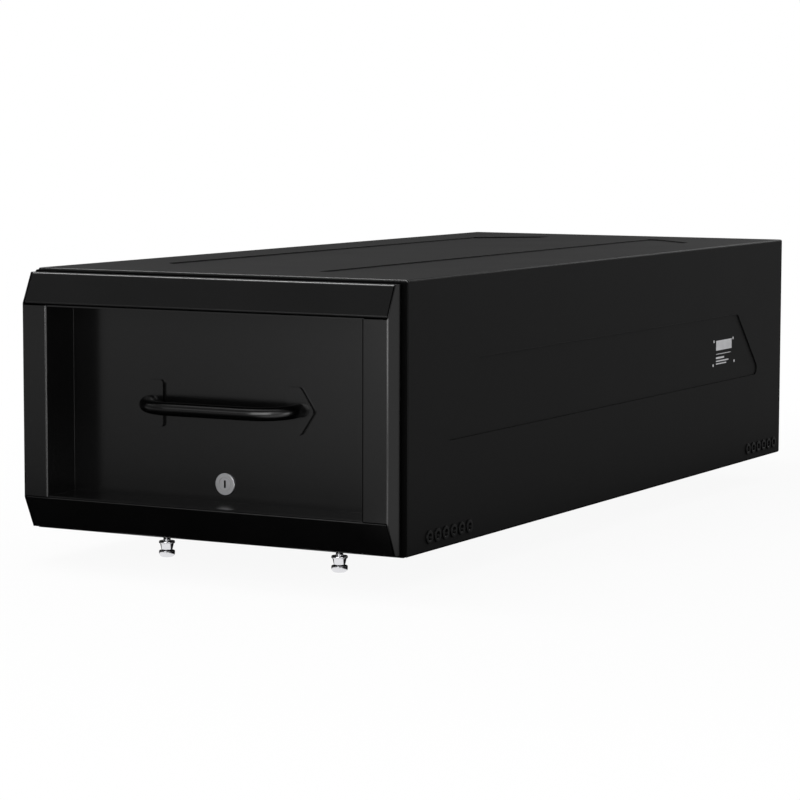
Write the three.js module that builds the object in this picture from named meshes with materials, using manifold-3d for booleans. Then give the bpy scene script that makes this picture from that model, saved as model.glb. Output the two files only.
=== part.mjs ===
// Drawer safe in folded sheet steel, in millimetres, +Z up, drawer front towards -Y.
// The model is laid out from the case's front rim (y = 0) and underside (z = 0),
// then moved so that its origin is under the middle of the whole safe, on the floor.
import * as THREE from 'three';
import { mergeVertices } from 'three/addons/utils/BufferGeometryUtils.js';
import Module from 'manifold-3d';

const wasm = await Module();
wasm.setup();

// Case
const caseWidth = 440;
const caseHeight = 274;
const caseDepth = 1015;
const sheet = 2;
const foldRadius = 2.4;
const rimFlange = 7;
const bottomFlange = 18;
const rearFlange = 18;
const rearReveal = 1;
const floorSheet = 2;

// Clearances
const fitGap = 0.3;
const overrun = 1;

// Pressed panels in the top and the sides
const pressDepth = 1.4;
const pressCorner = 7;
const topPressInner = 70;
const topPressWidth = 80;
const topPressFront = 71;
const topPressRear = 72;
const topPressSlant = 71;
const sidePressBottom = 107.5;
const sidePressWidth = 80;
const sidePressFront = 71;
const sidePressRear = 73;
const sidePressSlant = 78;

// Rivet nuts set into the sides in rows
const nutRowCount = 6;
const nutRowPitch = 17.5;
const nutRowHeight = 15;
const nutRowFront = 45;
const nutRowRear = 24;
const rivetFlangeDiameter = 14;
const rivetFlangeThickness = 1.5;
const rivetBarrelDiameter = 11;
const rivetBarrelLength = 11;
const rivetBore = 6.8;

// Track studs under the floor and their nuts
const studHalfSpread = 105;
const studFromFront = 67;
const studFromRear = 67;
const studDrop = 32.4;
const studStem = 8;
const studFlangeDrop = 15.3;
const studFlangeDiameter = 17;
const studFlangeThickness = 2.6;
const studNeckTopDiameter = 14.6;
const studNeckBottomDiameter = 11.6;
const studNeckLength = 7.6;
const studHeadDiameter = 16.9;
const studHeadChamfer = 3.2;
const studThreadEnd = 1.2;
const studHoleClearance = 0.5;
const studNutAcross = 13;
const studNutHeight = 6.5;

// Rear panel screws and the drawer's bumpers
const rearScrewShank = 6;
const rearScrewHead = 11;
const rearScrewHeadHeight = 3;
const rearScrewSocket = 4;
const rearScrewSocketDepth = 1.8;
const rearScrewReach = 6;
const rearScrewBelowTop = 9;
const bumperDiameter = 20;
const bumperLength = 22;
const bumperHalfSpread = 120;
const bumperHeight = 125;

// Seal between the case rim and the drawer front
const sealWidth = 6.4;

// Drawer front
const shutGap = 6;
const bezelSideReveal = 3.7;
const bezelTopReveal = 3.7;
const bezelBottomReveal = 3.2;
const bezelSheet = 2;
const returnDepth = 11.9;
const slopeDepth = 15.8;
const topSlopeHeight = 32.7;
const bottomSlopeHeight = 33.8;
const stileWidth = 29.5;
const seamGap = 0.7;
const railLip = 14;
const railBackLip = 20;

// Recess pan behind the drawer front
const panelSetback = 16;
const panSheet = 1.5;
const panelSheet = 2;
const seatTip = 107;
const seatShoulder = 90.5;
const seatInner = 73.4;
const seatHeight = 49;
const seatCentreHeight = 137;
const seatRise = 1.8;
const seatCorner = 4;

// Handle
const handleSpan = 178;
const handleBar = 14;
const handleStandoff = 29.2;
const handleBend = 27;
const handleHeight = 138.3;
const handleDroop = 4.3;
const handleScrewShank = 6;
const handleScrewHead = 12;
const handleScrewHeadHeight = 3.6;
const handleScrewReach = 14;
const handleScrewClearance = 0.3;

// Lock
const lockHeight = 57.5;
const lockFaceDiameter = 22.9;
const lockFaceThickness = 1.6;
const lockFaceEdge = 0.5;
const lockBarrelDiameter = 18.8;
const lockBarrelLength = 22;
const lockNutAcross = 24;
const lockNutThickness = 5;
const plugDiameter = 13.6;
const plugPlay = 0.3;
const keySlotWidth = 2.2;
const keySlotHeight = 8;
const keySlotDepth = 9;
const tangSize = 8;
const camWidth = 16;
const camThickness = 2.5;
const camTipClearance = 1.2;
const camScrewHead = 12;
const camScrewHeadHeight = 3;
const camScrewShank = 4;
const camScrewReach = 8;
const strikeSheet = 2.5;
const strikeWidth = 40;
const strikeFoot = 24;
const strikeClearance = 1.2;
const strikeBelowTub = 2;

// Tub
const tubSheet = 1.5;
const tubBottom = 14;
const tubTop = 236;
const tubHem = 8;
const tubLap = 14;
const lockNotchClearance = 2;
const camSlotClearance = 3;
const linerThickness = 3;
const linerMargin = 4;
const linerBehindSlot = 14;

// Slides, with balls in a retainer between their members
const spacerThickness = 6;
const spacerHeight = 50;
const spacerBelowPress = 8;
const slideLength = 900;
const slideFromPanel = 4;
const slideHeight = 76;
const slideThickness = 19;
const slideSheet = 2;
const outerFlange = 13;
const middleWebInset = 6;
const middleFlange = 10;
const innerFlange = 8.5;
const ballDiameter = 6;
const ballPlay = 0.25;
const ballsPerRow = 4;
const retainerLength = 300;
const retainerSheet = 1.2;
const outerRetainerInset = 3.2;
const outerRetainerFlange = 9.8;
const innerRetainerInset = 8.7;
const innerRetainerFlange = 7.6;
const slideHoldIn = 40;

// Counts of sides and steps on round shapes
const boltSides = 16;
const rivetSides = 10;
const studSides = 20;
const lockSides = 32;
const barSides = 16;
const barSteps = 44;
const ballSides = 6;
const ballRings = 4;
const curveSteps = 3;

// Places worked out from the sizes above
const caseHalf = caseWidth / 2;
const floorBottom = sheet + fitGap;
const floorTop = floorBottom + floorSheet;
const shellRear = caseDepth - sheet - fitGap;

const bezelHalf = caseHalf - bezelSideReveal;
const bezelTop = caseHeight - bezelTopReveal;
const bezelBottom = bezelBottomReveal;
const bezelBack = -shutGap;
const bezelBend = bezelBack - returnDepth;
const bezelFront = bezelBend - slopeDepth;
const seamTop = bezelTop - topSlopeHeight;
const seamBottom = bezelBottom + bottomSlopeHeight;
const openingHalf = bezelHalf - stileWidth;

const panTop = seamTop - fitGap;
const panBottom = seamBottom + fitGap;
const panFront = bezelFront + bezelSheet + fitGap;
const panelFace = panelSetback;
const panelBack = panelFace + panelSheet;
const seatFace = panelFace - seatRise;

const slideOuterFace = caseHalf - sheet - fitGap - spacerThickness - fitGap;
const slideInnerFace = slideOuterFace - slideThickness;
const slideCentre = sidePressBottom - spacerBelowPress - spacerHeight / 2;
const slideFront = panelBack + slideFromPanel;
const ballPath = ballDiameter + 2 * ballPlay;
const outerHalf = slideHeight / 2;
const middleHalf = outerHalf - slideSheet - ballPath;
const innerHalf = middleHalf - slideSheet - ballPath;
const drawerTravel = slideLength - slideHoldIn;

const tubHalf = slideInnerFace - fitGap;
const tubInnerHalf = tubHalf - tubSheet;
const tubFront = panelBack + fitGap;
const tubRear = caseDepth - sheet - fitGap - bumperLength - fitGap;
const tubFloorTop = tubBottom + tubSheet;

const lockRear = panelFace + lockBarrelLength;
const camFront = lockRear + fitGap;
const camRear = camFront + camThickness;
const camReach = lockHeight - floorTop - camTipClearance;
const camCorner = Math.hypot(camReach, camWidth / 4);
const camSweep = Math.sqrt(Math.max(camCorner ** 2 - (lockHeight - tubFloorTop) ** 2, 0));
const camSlotNear = -camWidth / 2 - camSlotClearance;
const camSlotFar = Math.max(camSweep, camWidth / 2) + camSlotClearance;
const camSlotRear = camRear + camSlotClearance;

const studRearY = caseDepth - studFromRear;
const stemTop = floorTop + fitGap + studNutHeight + studThreadEnd;

// Solids and their helpers

function solidFrom(geometry) {
  const bare = geometry.clone();
  bare.deleteAttribute('normal');
  bare.deleteAttribute('uv');
  const merged = mergeVertices(bare);
  const corners = [];
  const index = merged.index.array;
  for (let i = 0; i < index.length; i += 3) {
    const [a, b, c] = [index[i], index[i + 1], index[i + 2]];
    if (a !== b && b !== c && c !== a) corners.push(a, b, c);
  }
  const vertProperties = new Float32Array(merged.attributes.position.array);
  const triVerts = new Uint32Array(corners);
  return new wasm.Manifold(new wasm.Mesh({ numProp: 3, vertProperties, triVerts }));
}

function geometryFrom(solid) {
  const mesh = solid.getMesh();
  const geometry = new THREE.BufferGeometry();
  geometry.setAttribute('position', new THREE.BufferAttribute(new Float32Array(mesh.vertProperties), 3));
  geometry.setIndex(new THREE.BufferAttribute(new Uint32Array(mesh.triVerts), 1));
  geometry.computeVertexNormals();
  return geometry;
}

function block([x0, x1], [y0, y1], [z0, z1]) {
  const geometry = new THREE.BoxGeometry(x1 - x0, y1 - y0, z1 - z0);
  return solidFrom(geometry.translate((x0 + x1) / 2, (y0 + y1) / 2, (z0 + z1) / 2));
}

function extrude(shape, length) {
  return new THREE.ExtrudeGeometry(shape, { depth: length, bevelEnabled: false, curveSegments: curveSteps });
}

// A shape drawn in x and z, run from y0 to y1.
function alongY(shape, y0, y1) {
  return solidFrom(extrude(shape, y1 - y0).rotateX(Math.PI / 2).translate(0, y1, 0));
}

// A shape drawn in y and z, run from x0 to x1.
function alongX(shape, x0, x1) {
  const turn = new THREE.Matrix4().makeBasis(
    new THREE.Vector3(0, 1, 0),
    new THREE.Vector3(0, 0, 1),
    new THREE.Vector3(1, 0, 0),
  );
  return solidFrom(extrude(shape, x1 - x0).applyMatrix4(turn).translate(x0, 0, 0));
}

// A shape drawn in x and y, run from z0 to z1.
function alongZ(shape, z0, z1) {
  return solidFrom(extrude(shape, z1 - z0).translate(0, 0, z0));
}

// A round bar along Y, about the line x, z.
function barY(diameter, y0, y1, x, z, sides) {
  const geometry = new THREE.CylinderGeometry(diameter / 2, diameter / 2, y1 - y0, sides);
  return solidFrom(geometry.translate(x, (y0 + y1) / 2, z));
}

// A round bar along X, about the line y, z.
function barX(diameter, x0, x1, y, z, sides) {
  const geometry = new THREE.CylinderGeometry(diameter / 2, diameter / 2, x1 - x0, sides);
  return solidFrom(geometry.rotateZ(Math.PI / 2).translate((x0 + x1) / 2, y, z));
}

// A turned piece about the Z axis, from a profile of [radius, z] points that starts and ends on the axis.
function turnedZ(profile, sides) {
  const points = profile.map(([radius, z]) => new THREE.Vector2(radius, z));
  return solidFrom(new THREE.LatheGeometry(points, sides).rotateX(Math.PI / 2));
}

// A turned piece about the Y axis, from a profile of [radius, y] points.
function turnedY(profile, sides) {
  const points = profile.map(([radius, y]) => new THREE.Vector2(radius, y));
  return solidFrom(new THREE.LatheGeometry(points, sides));
}

function offsetCorner(before, corner, after, distance) {
  const inward = corner.clone().sub(before).normalize();
  const outward = after.clone().sub(corner).normalize();
  const sideIn = new THREE.Vector2(-inward.y, inward.x);
  const sideOut = new THREE.Vector2(-outward.y, outward.x);
  const middle = sideIn.clone().add(sideOut).normalize();
  return corner.clone().addScaledVector(middle, distance / middle.dot(sideIn));
}

// The points of a closed outline, moved to its left by a distance.
function offsetOutline(points, distance) {
  const count = points.length;
  return points.map((point, i) => {
    const before = points[(i + count - 1) % count];
    const after = points[(i + 1) % count];
    return offsetCorner(before, point, after, distance);
  });
}

// Folded sheet: an open run of outside corners, with the sheet's thickness on its left.
function foldedShape(corners, thickness) {
  const outside = corners.map(([a, b]) => new THREE.Vector2(a, b));
  const last = outside.length - 1;
  const inside = outside.map((point, i) => {
    const before = i === 0 ? point.clone().multiplyScalar(2).sub(outside[1]) : outside[i - 1];
    const after = i === last ? point.clone().multiplyScalar(2).sub(outside[last - 1]) : outside[i + 1];
    return offsetCorner(before, point, after, thickness);
  });
  return new THREE.Shape([...outside, ...inside.reverse()]);
}

// A closed outline with each corner rounded.
function roundedShape(points, radius) {
  const shape = new THREE.Shape();
  const count = points.length;
  points.forEach((corner, i) => {
    const before = points[(i + count - 1) % count];
    const after = points[(i + 1) % count];
    const start = corner.clone().add(before.clone().sub(corner).setLength(radius));
    const end = corner.clone().add(after.clone().sub(corner).setLength(radius));
    if (i === 0) shape.moveTo(start.x, start.y);
    else shape.lineTo(start.x, start.y);
    shape.quadraticCurveTo(corner.x, corner.y, end.x, end.y);
  });
  shape.closePath();
  return shape;
}

function rectanglePoints([a0, a1], [b0, b1]) {
  return [[a0, b0], [a1, b0], [a1, b1], [a0, b1]].map(([a, b]) => new THREE.Vector2(a, b));
}

function hexShape(acrossFlats) {
  const radius = acrossFlats / Math.sqrt(3);
  const corners = Array.from({ length: 6 }, (unused, i) => {
    const angle = (i * Math.PI) / 3;
    return new THREE.Vector2(radius * Math.cos(angle), radius * Math.sin(angle));
  });
  return new THREE.Shape(corners);
}

// Materials
function finish(color, roughness, metalness) {
  return new THREE.MeshStandardMaterial({ color, roughness, metalness });
}

const blackCoat = finish(0x17181a, 0.42, 0.1);
const frontCoat = finish(0x1b1c1e, 0.3, 0.1);
const glossBlack = finish(0x0a0a0b, 0.12, 0.2);
const blackRubber = finish(0x050505, 0.85, 0);
const brightChrome = finish(0xd8dade, 0.12, 1);
const satinNickel = finish(0x9c9c9a, 0.35, 0.9);
const zincPlate = finish(0xa9adb2, 0.4, 0.9);
const slideSteel = finish(0x8f9498, 0.35, 0.9);
const darkSteel = finish(0x2c2d2f, 0.4, 0.6);

const safe = new THREE.Group();
const caseGroup = new THREE.Group();
const drawerGroup = new THREE.Group();
const slideGroup = new THREE.Group();
const lockGroup = new THREE.Group();
lockGroup.position.set(0, 0, lockHeight);
drawerGroup.add(lockGroup);
safe.add(caseGroup, drawerGroup, slideGroup);

function place(group, name, solid, material, x = 0, y = 0, z = 0) {
  const mesh = new THREE.Mesh(geometryFrom(solid), material);
  mesh.name = name;
  mesh.position.set(x, y, z);
  group.add(mesh);
  return mesh;
}

// Case shell: top, sides and flanges, with its pressed panels and rivet nuts

function topPressPoints() {
  const rear = caseDepth - topPressRear;
  const outer = topPressInner + topPressWidth;
  return [
    [topPressInner, topPressFront],
    [outer, topPressFront + topPressSlant],
    [outer, rear - topPressSlant],
    [topPressInner, rear],
  ].map(([x, y]) => new THREE.Vector2(x, y));
}

function sidePressPoints() {
  const rear = caseDepth - sidePressRear;
  const top = sidePressBottom + sidePressWidth;
  return [
    [sidePressFront, sidePressBottom],
    [rear, sidePressBottom],
    [rear - sidePressSlant, top],
    [sidePressFront + sidePressSlant, top],
  ].map(([y, z]) => new THREE.Vector2(y, z));
}

function rivetNut(y) {
  const outerFace = caseHalf + rivetFlangeThickness;
  const flange = barX(rivetFlangeDiameter, caseHalf - sheet, outerFace, y, nutRowHeight, rivetSides);
  const barrelEnd = caseHalf - rivetBarrelLength;
  const barrel = barX(rivetBarrelDiameter, barrelEnd, caseHalf, y, nutRowHeight, rivetSides);
  return flange.add(barrel);
}

function rivetPlaces() {
  const rowLength = (nutRowCount - 1) * nutRowPitch;
  const rearStart = caseDepth - nutRowRear - rowLength;
  const steps = Array.from({ length: nutRowCount }, (unused, i) => i * nutRowPitch);
  return [...steps.map((step) => nutRowFront + step), ...steps.map((step) => rearStart + step)];
}

function makeShell() {
  const outline = roundedShape(rectanglePoints([-caseHalf, caseHalf], [0, caseHeight]), foldRadius);
  const innerHalf = caseHalf - sheet;
  let shell = alongY(outline, 0, shellRear);
  shell = shell.subtract(
    block([-innerHalf, innerHalf], [sheet, shellRear - sheet], [sheet, caseHeight - sheet]),
  );
  const rimHalf = caseHalf - rimFlange;
  shell = shell.subtract(
    block([-rimHalf, rimHalf], [-overrun, sheet + overrun], [rimFlange, caseHeight - rimFlange]),
  );
  const rearHalf = caseHalf - rearFlange;
  const rearSpan = [shellRear - sheet - overrun, shellRear + overrun];
  shell = shell.subtract(block([-rearHalf, rearHalf], rearSpan, [rearFlange, caseHeight - rearFlange]));
  const bottomHalf = caseHalf - bottomFlange;
  const bottomSpan = [bottomFlange, shellRear - bottomFlange];
  shell = shell.subtract(block([-bottomHalf, bottomHalf], bottomSpan, [-overrun, sheet + overrun]));

  const topPress = topPressPoints();
  const sidePress = sidePressPoints();
  const topPad = roundedShape(offsetOutline(topPress, -sheet), pressCorner);
  const sidePad = roundedShape(offsetOutline(sidePress, -sheet), pressCorner);
  const topFace = caseHeight - pressDepth;
  const sideFace = caseHalf - pressDepth;
  let oneSide = alongZ(topPad, topFace - sheet, caseHeight - sheet / 2);
  oneSide = oneSide.add(alongX(sidePad, sideFace - sheet, caseHalf - sheet / 2));
  for (const y of rivetPlaces()) oneSide = oneSide.add(rivetNut(y));
  let oneCut = alongZ(roundedShape(topPress, pressCorner), topFace, caseHeight + overrun);
  oneCut = oneCut.add(alongX(roundedShape(sidePress, pressCorner), sideFace, caseHalf + overrun));
  const boreEnds = [caseHalf - rivetBarrelLength - overrun, caseHalf + rivetFlangeThickness + overrun];
  for (const y of rivetPlaces()) {
    oneCut = oneCut.add(barX(rivetBore, boreEnds[0], boreEnds[1], y, nutRowHeight, rivetSides));
  }
  shell = shell.add(oneSide).add(oneSide.mirror([1, 0, 0]));
  shell = shell.subtract(oneCut).subtract(oneCut.mirror([1, 0, 0]));
  for (const [x, z] of rearScrewPlaces()) {
    const hole = rearScrewShank + 2 * fitGap;
    shell = shell.subtract(barY(hole, shellRear - sheet - overrun, shellRear + overrun, x, z, boltSides));
  }
  return shell;
}

// Rear panel, its screws and the bumpers

function rearScrewPlaces() {
  const x = caseHalf - rearFlange / 2;
  const heights = [rearScrewBelowTop, caseHeight / 2, caseHeight - rearScrewBelowTop];
  return heights.flatMap((z) => [[-x, z], [x, z]]);
}

function makeRearPanel() {
  const half = caseHalf - rearReveal;
  const points = rectanglePoints([-half, half], [rearReveal, caseHeight - rearReveal]);
  let panel = alongY(roundedShape(points, foldRadius), caseDepth - sheet, caseDepth);
  for (const [x, z] of rearScrewPlaces()) {
    const hole = rearScrewShank + 2 * fitGap;
    panel = panel.subtract(barY(hole, caseDepth - sheet - overrun, caseDepth + overrun, x, z, boltSides));
  }
  return panel;
}

// A button head screw that lies along Y, with its head's underside at y = 0 and its shank towards -Y.
function makeButtonScrew(shank, head, headHeight, reach, socket, socketDepth) {
  const edgeShare = 0.2;
  const shoulderShare = 0.8;
  const crownShare = 0.55;
  const screw = turnedY([
    [0, -reach],
    [shank / 2, -reach],
    [shank / 2, 0],
    [head / 2, 0],
    [head / 2, headHeight * edgeShare],
    [(head / 2) * shoulderShare, headHeight * shoulderShare],
    [(head / 2) * crownShare, headHeight],
    [0, headHeight],
  ], boltSides);
  const hex = alongY(hexShape(socket), headHeight - socketDepth, headHeight + overrun);
  return screw.subtract(hex);
}

function makeBumper() {
  return barY(bumperDiameter, -bumperLength, 0, 0, 0, boltSides);
}

// Floor plate, track studs and their nuts

function studPlaces() {
  return [
    ['front_left', -studHalfSpread, studFromFront],
    ['front_right', studHalfSpread, studFromFront],
    ['rear_left', -studHalfSpread, studRearY],
    ['rear_right', studHalfSpread, studRearY],
  ];
}

function makeFloor() {
  const half = caseHalf - sheet - fitGap;
  let plate = block([-half, half], [sheet + fitGap, shellRear - sheet - fitGap], [floorBottom, floorTop]);
  const hole = studStem + 2 * studHoleClearance;
  for (const [, x, y] of studPlaces()) {
    const cutter = new THREE.CylinderGeometry(hole / 2, hole / 2, floorSheet + 2 * overrun, boltSides);
    cutter.rotateX(Math.PI / 2).translate(x, y, (floorBottom + floorTop) / 2);
    plate = plate.subtract(solidFrom(cutter));
  }
  return plate;
}

function makeStud() {
  const flangeBottom = -studFlangeDrop - studFlangeThickness;
  const neckBottom = flangeBottom - studNeckLength;
  const headEdge = studHeadDiameter / 2;
  const headDepth = studDrop + neckBottom;
  const widestShare = 0.6;
  return turnedZ([
    [0, -studDrop],
    [headEdge - studHeadChamfer, -studDrop],
    [headEdge - studHeadChamfer / 4, -studDrop + studHeadChamfer * (1 - 1 / 4)],
    [headEdge, -studDrop + headDepth * widestShare],
    [headEdge - studHeadChamfer / 4, neckBottom],
    [studNeckBottomDiameter / 2, neckBottom],
    [studNeckTopDiameter / 2, flangeBottom],
    [studFlangeDiameter / 2, flangeBottom],
    [studFlangeDiameter / 2, -studFlangeDrop],
    [studStem / 2, -studFlangeDrop],
    [studStem / 2, stemTop],
    [0, stemTop],
  ], studSides);
}

function makeStudNut() {
  const bore = new THREE.Path();
  bore.absarc(0, 0, studStem / 2 + fitGap, 0, 2 * Math.PI, true);
  const shape = hexShape(studNutAcross);
  shape.holes.push(bore);
  const settings = { depth: studNutHeight, bevelEnabled: false, curveSegments: boltSides / 2 };
  return solidFrom(new THREE.ExtrudeGeometry(shape, settings));
}

// Front seal

function makeSeal() {
  const half = caseHalf - fitGap;
  const outer = rectanglePoints([-half, half], [fitGap, caseHeight - fitGap]);
  const innerHalf = half - sealWidth;
  const ring = alongY(roundedShape(outer, foldRadius), bezelBack + fitGap, -fitGap);
  const bottom = fitGap + sealWidth;
  const top = caseHeight - fitGap - sealWidth;
  return ring.subtract(block([-innerHalf, innerHalf], [bezelBack - overrun, overrun], [bottom, top]));
}

// Strike that the cam drops behind

function makeStrike() {
  const front = camFront - strikeClearance - strikeSheet;
  const top = tubBottom - strikeBelowTub;
  const bottom = floorTop + fitGap;
  const profile = foldedShape([
    [front + strikeSheet - strikeFoot, bottom],
    [front + strikeSheet, bottom],
    [front + strikeSheet, top],
  ], strikeSheet);
  return alongX(profile, -strikeWidth / 2, strikeWidth / 2);
}

place(caseGroup, 'case_shell', makeShell(), blackCoat);
place(caseGroup, 'case_floor', makeFloor(), blackCoat);
place(caseGroup, 'rear_panel', makeRearPanel(), blackCoat);
place(caseGroup, 'front_seal', makeSeal(), blackRubber);
place(caseGroup, 'lock_strike', makeStrike(), zincPlate);

const rearScrew = makeButtonScrew(
  rearScrewShank,
  rearScrewHead,
  rearScrewHeadHeight,
  rearScrewReach,
  rearScrewSocket,
  rearScrewSocketDepth,
);
rearScrewPlaces().forEach(([x, z], i) => {
  place(caseGroup, `rear_screw_${i + 1}`, rearScrew, darkSteel, x, caseDepth + fitGap, z);
});

for (const [side, sign] of [['left', -1], ['right', 1]]) {
  const rear = caseDepth - sheet - fitGap;
  place(caseGroup, `bumper_${side}`, makeBumper(), blackRubber, sign * bumperHalfSpread, rear, bumperHeight);
}

for (const [corner, x, y] of studPlaces()) {
  place(caseGroup, `track_stud_${corner}`, makeStud(), brightChrome, x, y);
  place(caseGroup, `stud_top_nut_${corner}`, makeStudNut(), zincPlate, x, y, floorTop + fitGap);
  const lowNutBottom = floorBottom - fitGap - studNutHeight;
  place(caseGroup, `stud_low_nut_${corner}`, makeStudNut(), zincPlate, x, y, lowNutBottom);
}

// Drawer front: two sloping rails between two stiles with side plates

function makeTopRail() {
  const half = bezelHalf - bezelSheet - seamGap / 2;
  const profile = foldedShape([
    [bezelBack, bezelTop - railBackLip],
    [bezelBack, bezelTop],
    [bezelBend, bezelTop],
    [bezelFront, seamTop],
    [bezelFront + railLip, seamTop],
  ], bezelSheet);
  return alongX(profile, -half, half);
}

function makeBottomRail() {
  const half = bezelHalf - bezelSheet - seamGap / 2;
  const profile = foldedShape([
    [bezelFront + railLip, seamBottom],
    [bezelFront, seamBottom],
    [bezelBend, bezelBottom],
    [bezelBack, bezelBottom],
    [bezelBack, bezelBottom + railBackLip],
  ], bezelSheet);
  return alongX(profile, -half, half);
}

// The right stile; the left one is its mirror image.
function makeStile() {
  const plateOutline = new THREE.Shape([
    [bezelBack, bezelBottom],
    [bezelBack, bezelTop],
    [bezelBend, bezelTop],
    [bezelFront, seamTop],
    [bezelFront, seamBottom],
    [bezelBend, bezelBottom],
  ].map(([y, z]) => new THREE.Vector2(y, z)));
  const plate = alongX(plateOutline, bezelHalf - bezelSheet, bezelHalf);
  const panSide = openingHalf + panSheet + fitGap;
  const channel = foldedShape([
    [panSide, bezelBack],
    [bezelHalf, bezelBack],
    [bezelHalf, bezelFront],
    [openingHalf, bezelFront],
  ], -bezelSheet);
  const low = Math.max(seamBottom + seamGap, bezelBottom + railBackLip + seamGap);
  const high = Math.min(seamTop - seamGap, bezelTop - railBackLip - seamGap);
  return plate.add(alongZ(channel, low, high));
}

// Recess pan: an open tray whose bottom is the panel that carries the handle and the lock

function seatPoints() {
  const low = seatCentreHeight - seatHeight / 2;
  const high = seatCentreHeight + seatHeight / 2;
  return [
    [seatInner, low],
    [seatShoulder, low],
    [seatTip, seatCentreHeight],
    [seatShoulder, high],
    [seatInner, high],
  ].map(([x, z]) => new THREE.Vector2(x, z));
}

function makePan() {
  const outerHalf = openingHalf + panSheet;
  let pan = block([-outerHalf, outerHalf], [panFront, panelBack], [panBottom, panTop]);
  const hollowSpan = [panFront - overrun, panelFace];
  const hollowHeight = [panBottom + panSheet, panTop - panSheet];
  pan = pan.subtract(block([-openingHalf, openingHalf], hollowSpan, hollowHeight));
  const seat = alongY(roundedShape(seatPoints(), seatCorner), seatFace, panelFace + panelSheet / 2);
  pan = pan.add(seat).add(seat.mirror([1, 0, 0]));
  const screwHole = handleScrewShank + 2 * fitGap;
  for (const x of [-handleSpan / 2, handleSpan / 2]) {
    pan = pan.subtract(barY(screwHole, seatFace - overrun, panelBack + overrun, x, handleHeight, boltSides));
  }
  const lockHole = lockBarrelDiameter + 2 * fitGap;
  return pan.subtract(barY(lockHole, panelFace - overrun, panelBack + overrun, 0, lockHeight, lockSides));
}

// Handle: one round bar bent to a U, its middle a little lower than its feet

class BendCurve extends THREE.Curve {
  constructor(centre, start, end) {
    super();
    this.centre = centre;
    this.start = start;
    this.end = end;
  }

  getPoint(t, target = new THREE.Vector3()) {
    const angle = (t * Math.PI) / 2;
    return target.copy(this.centre)
      .addScaledVector(this.start, Math.cos(angle))
      .addScaledVector(this.end, Math.sin(angle));
  }
}

function makeHandle() {
  const lean = Math.atan2(handleDroop, handleStandoff);
  const reach = handleStandoff / Math.cos(lean);
  const outward = new THREE.Vector3(0, -Math.cos(lean), -Math.sin(lean));
  const across = new THREE.Vector3(1, 0, 0);
  const foot = (sign) => new THREE.Vector3((sign * handleSpan) / 2, 0, 0);
  const legEnd = (sign) => foot(sign).addScaledVector(outward, reach - handleBend);
  const barEnd = (sign) => foot(sign)
    .addScaledVector(outward, reach)
    .addScaledVector(across, -sign * handleBend);
  const bendCentre = (sign) => legEnd(sign).addScaledVector(across, -sign * handleBend);
  const buried = (sign) => foot(sign).addScaledVector(outward, -handleBar);
  const toOuter = (sign) => across.clone().multiplyScalar(sign * handleBend);
  const toFront = outward.clone().multiplyScalar(handleBend);
  const path = new THREE.CurvePath();
  path.add(new THREE.LineCurve3(buried(-1), legEnd(-1)));
  path.add(new BendCurve(bendCentre(-1), toOuter(-1), toFront));
  path.add(new THREE.LineCurve3(barEnd(-1), barEnd(1)));
  path.add(new BendCurve(bendCentre(1), toFront, toOuter(1)));
  path.add(new THREE.LineCurve3(legEnd(1), buried(1)));
  const section = new THREE.Shape();
  section.absarc(0, 0, handleBar / 2, 0, 2 * Math.PI, false);
  const settings = { steps: barSteps, extrudePath: path, bevelEnabled: false, curveSegments: barSides / 2 };
  let handle = solidFrom(new THREE.ExtrudeGeometry(section, settings));
  const half = handleSpan;
  handle = handle.subtract(block([-half, half], [-fitGap, 2 * handleBar], [-half, half]));
  const bore = handleScrewShank + 2 * handleScrewClearance;
  const depth = handleScrewReach + fitGap;
  for (const x of [-handleSpan / 2, handleSpan / 2]) {
    handle = handle.subtract(barY(bore, -depth, overrun, x, 0, boltSides));
  }
  return handle;
}

// A pan head screw along Y, its head's underside at y = 0 and its shank towards -Y.
function makePanScrew(shank, head, headHeight, reach) {
  return turnedY([
    [0, -reach],
    [shank / 2, -reach],
    [shank / 2, 0],
    [head / 2, 0],
    [head / 2, headHeight / 2],
    [head / 3, headHeight],
    [0, headHeight],
  ], boltSides);
}

// Tub: floor and sides folded from one sheet, with a flange that laps the panel

function makeTub() {
  const section = foldedShape([
    [tubInnerHalf - tubHem, tubTop],
    [tubHalf, tubTop],
    [tubHalf, tubBottom],
    [-tubHalf, tubBottom],
    [-tubHalf, tubTop],
    [-tubInnerHalf + tubHem, tubTop],
  ], -tubSheet);
  let tub = alongY(section, tubFront, tubRear);
  const lapTop = panBottom + tubLap;
  const flangeSpan = [tubFront, tubFront + tubSheet];
  const within = tubSheet / 2;
  tub = tub.add(block([-tubHalf + within, tubHalf - within], flangeSpan, [tubBottom + within, lapTop]));
  const lapSide = openingHalf - tubLap;
  const sideHeight = [tubBottom + within, tubTop - within];
  tub = tub.add(block([lapSide, tubHalf - within], flangeSpan, sideHeight));
  tub = tub.add(block([-tubHalf + within, -lapSide], flangeSpan, sideHeight));
  const notchHalf = lockNutAcross / Math.sqrt(3) + lockNotchClearance;
  const notchSpan = [tubFront - overrun, tubFront + tubSheet];
  tub = tub.subtract(block([-notchHalf, notchHalf], notchSpan, [tubFloorTop, lapTop + overrun]));
  const slotSpan = [camFront - camSlotClearance, camSlotRear];
  const slotHeight = [tubBottom - overrun, tubFloorTop + overrun];
  return tub.subtract(block([camSlotNear, camSlotFar], slotSpan, slotHeight));
}

function makeTubBack() {
  const half = tubInnerHalf - fitGap;
  const top = tubTop - tubSheet - fitGap;
  return block([-half, half], [tubRear - tubSheet, tubRear], [tubFloorTop + fitGap, top]);
}

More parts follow.
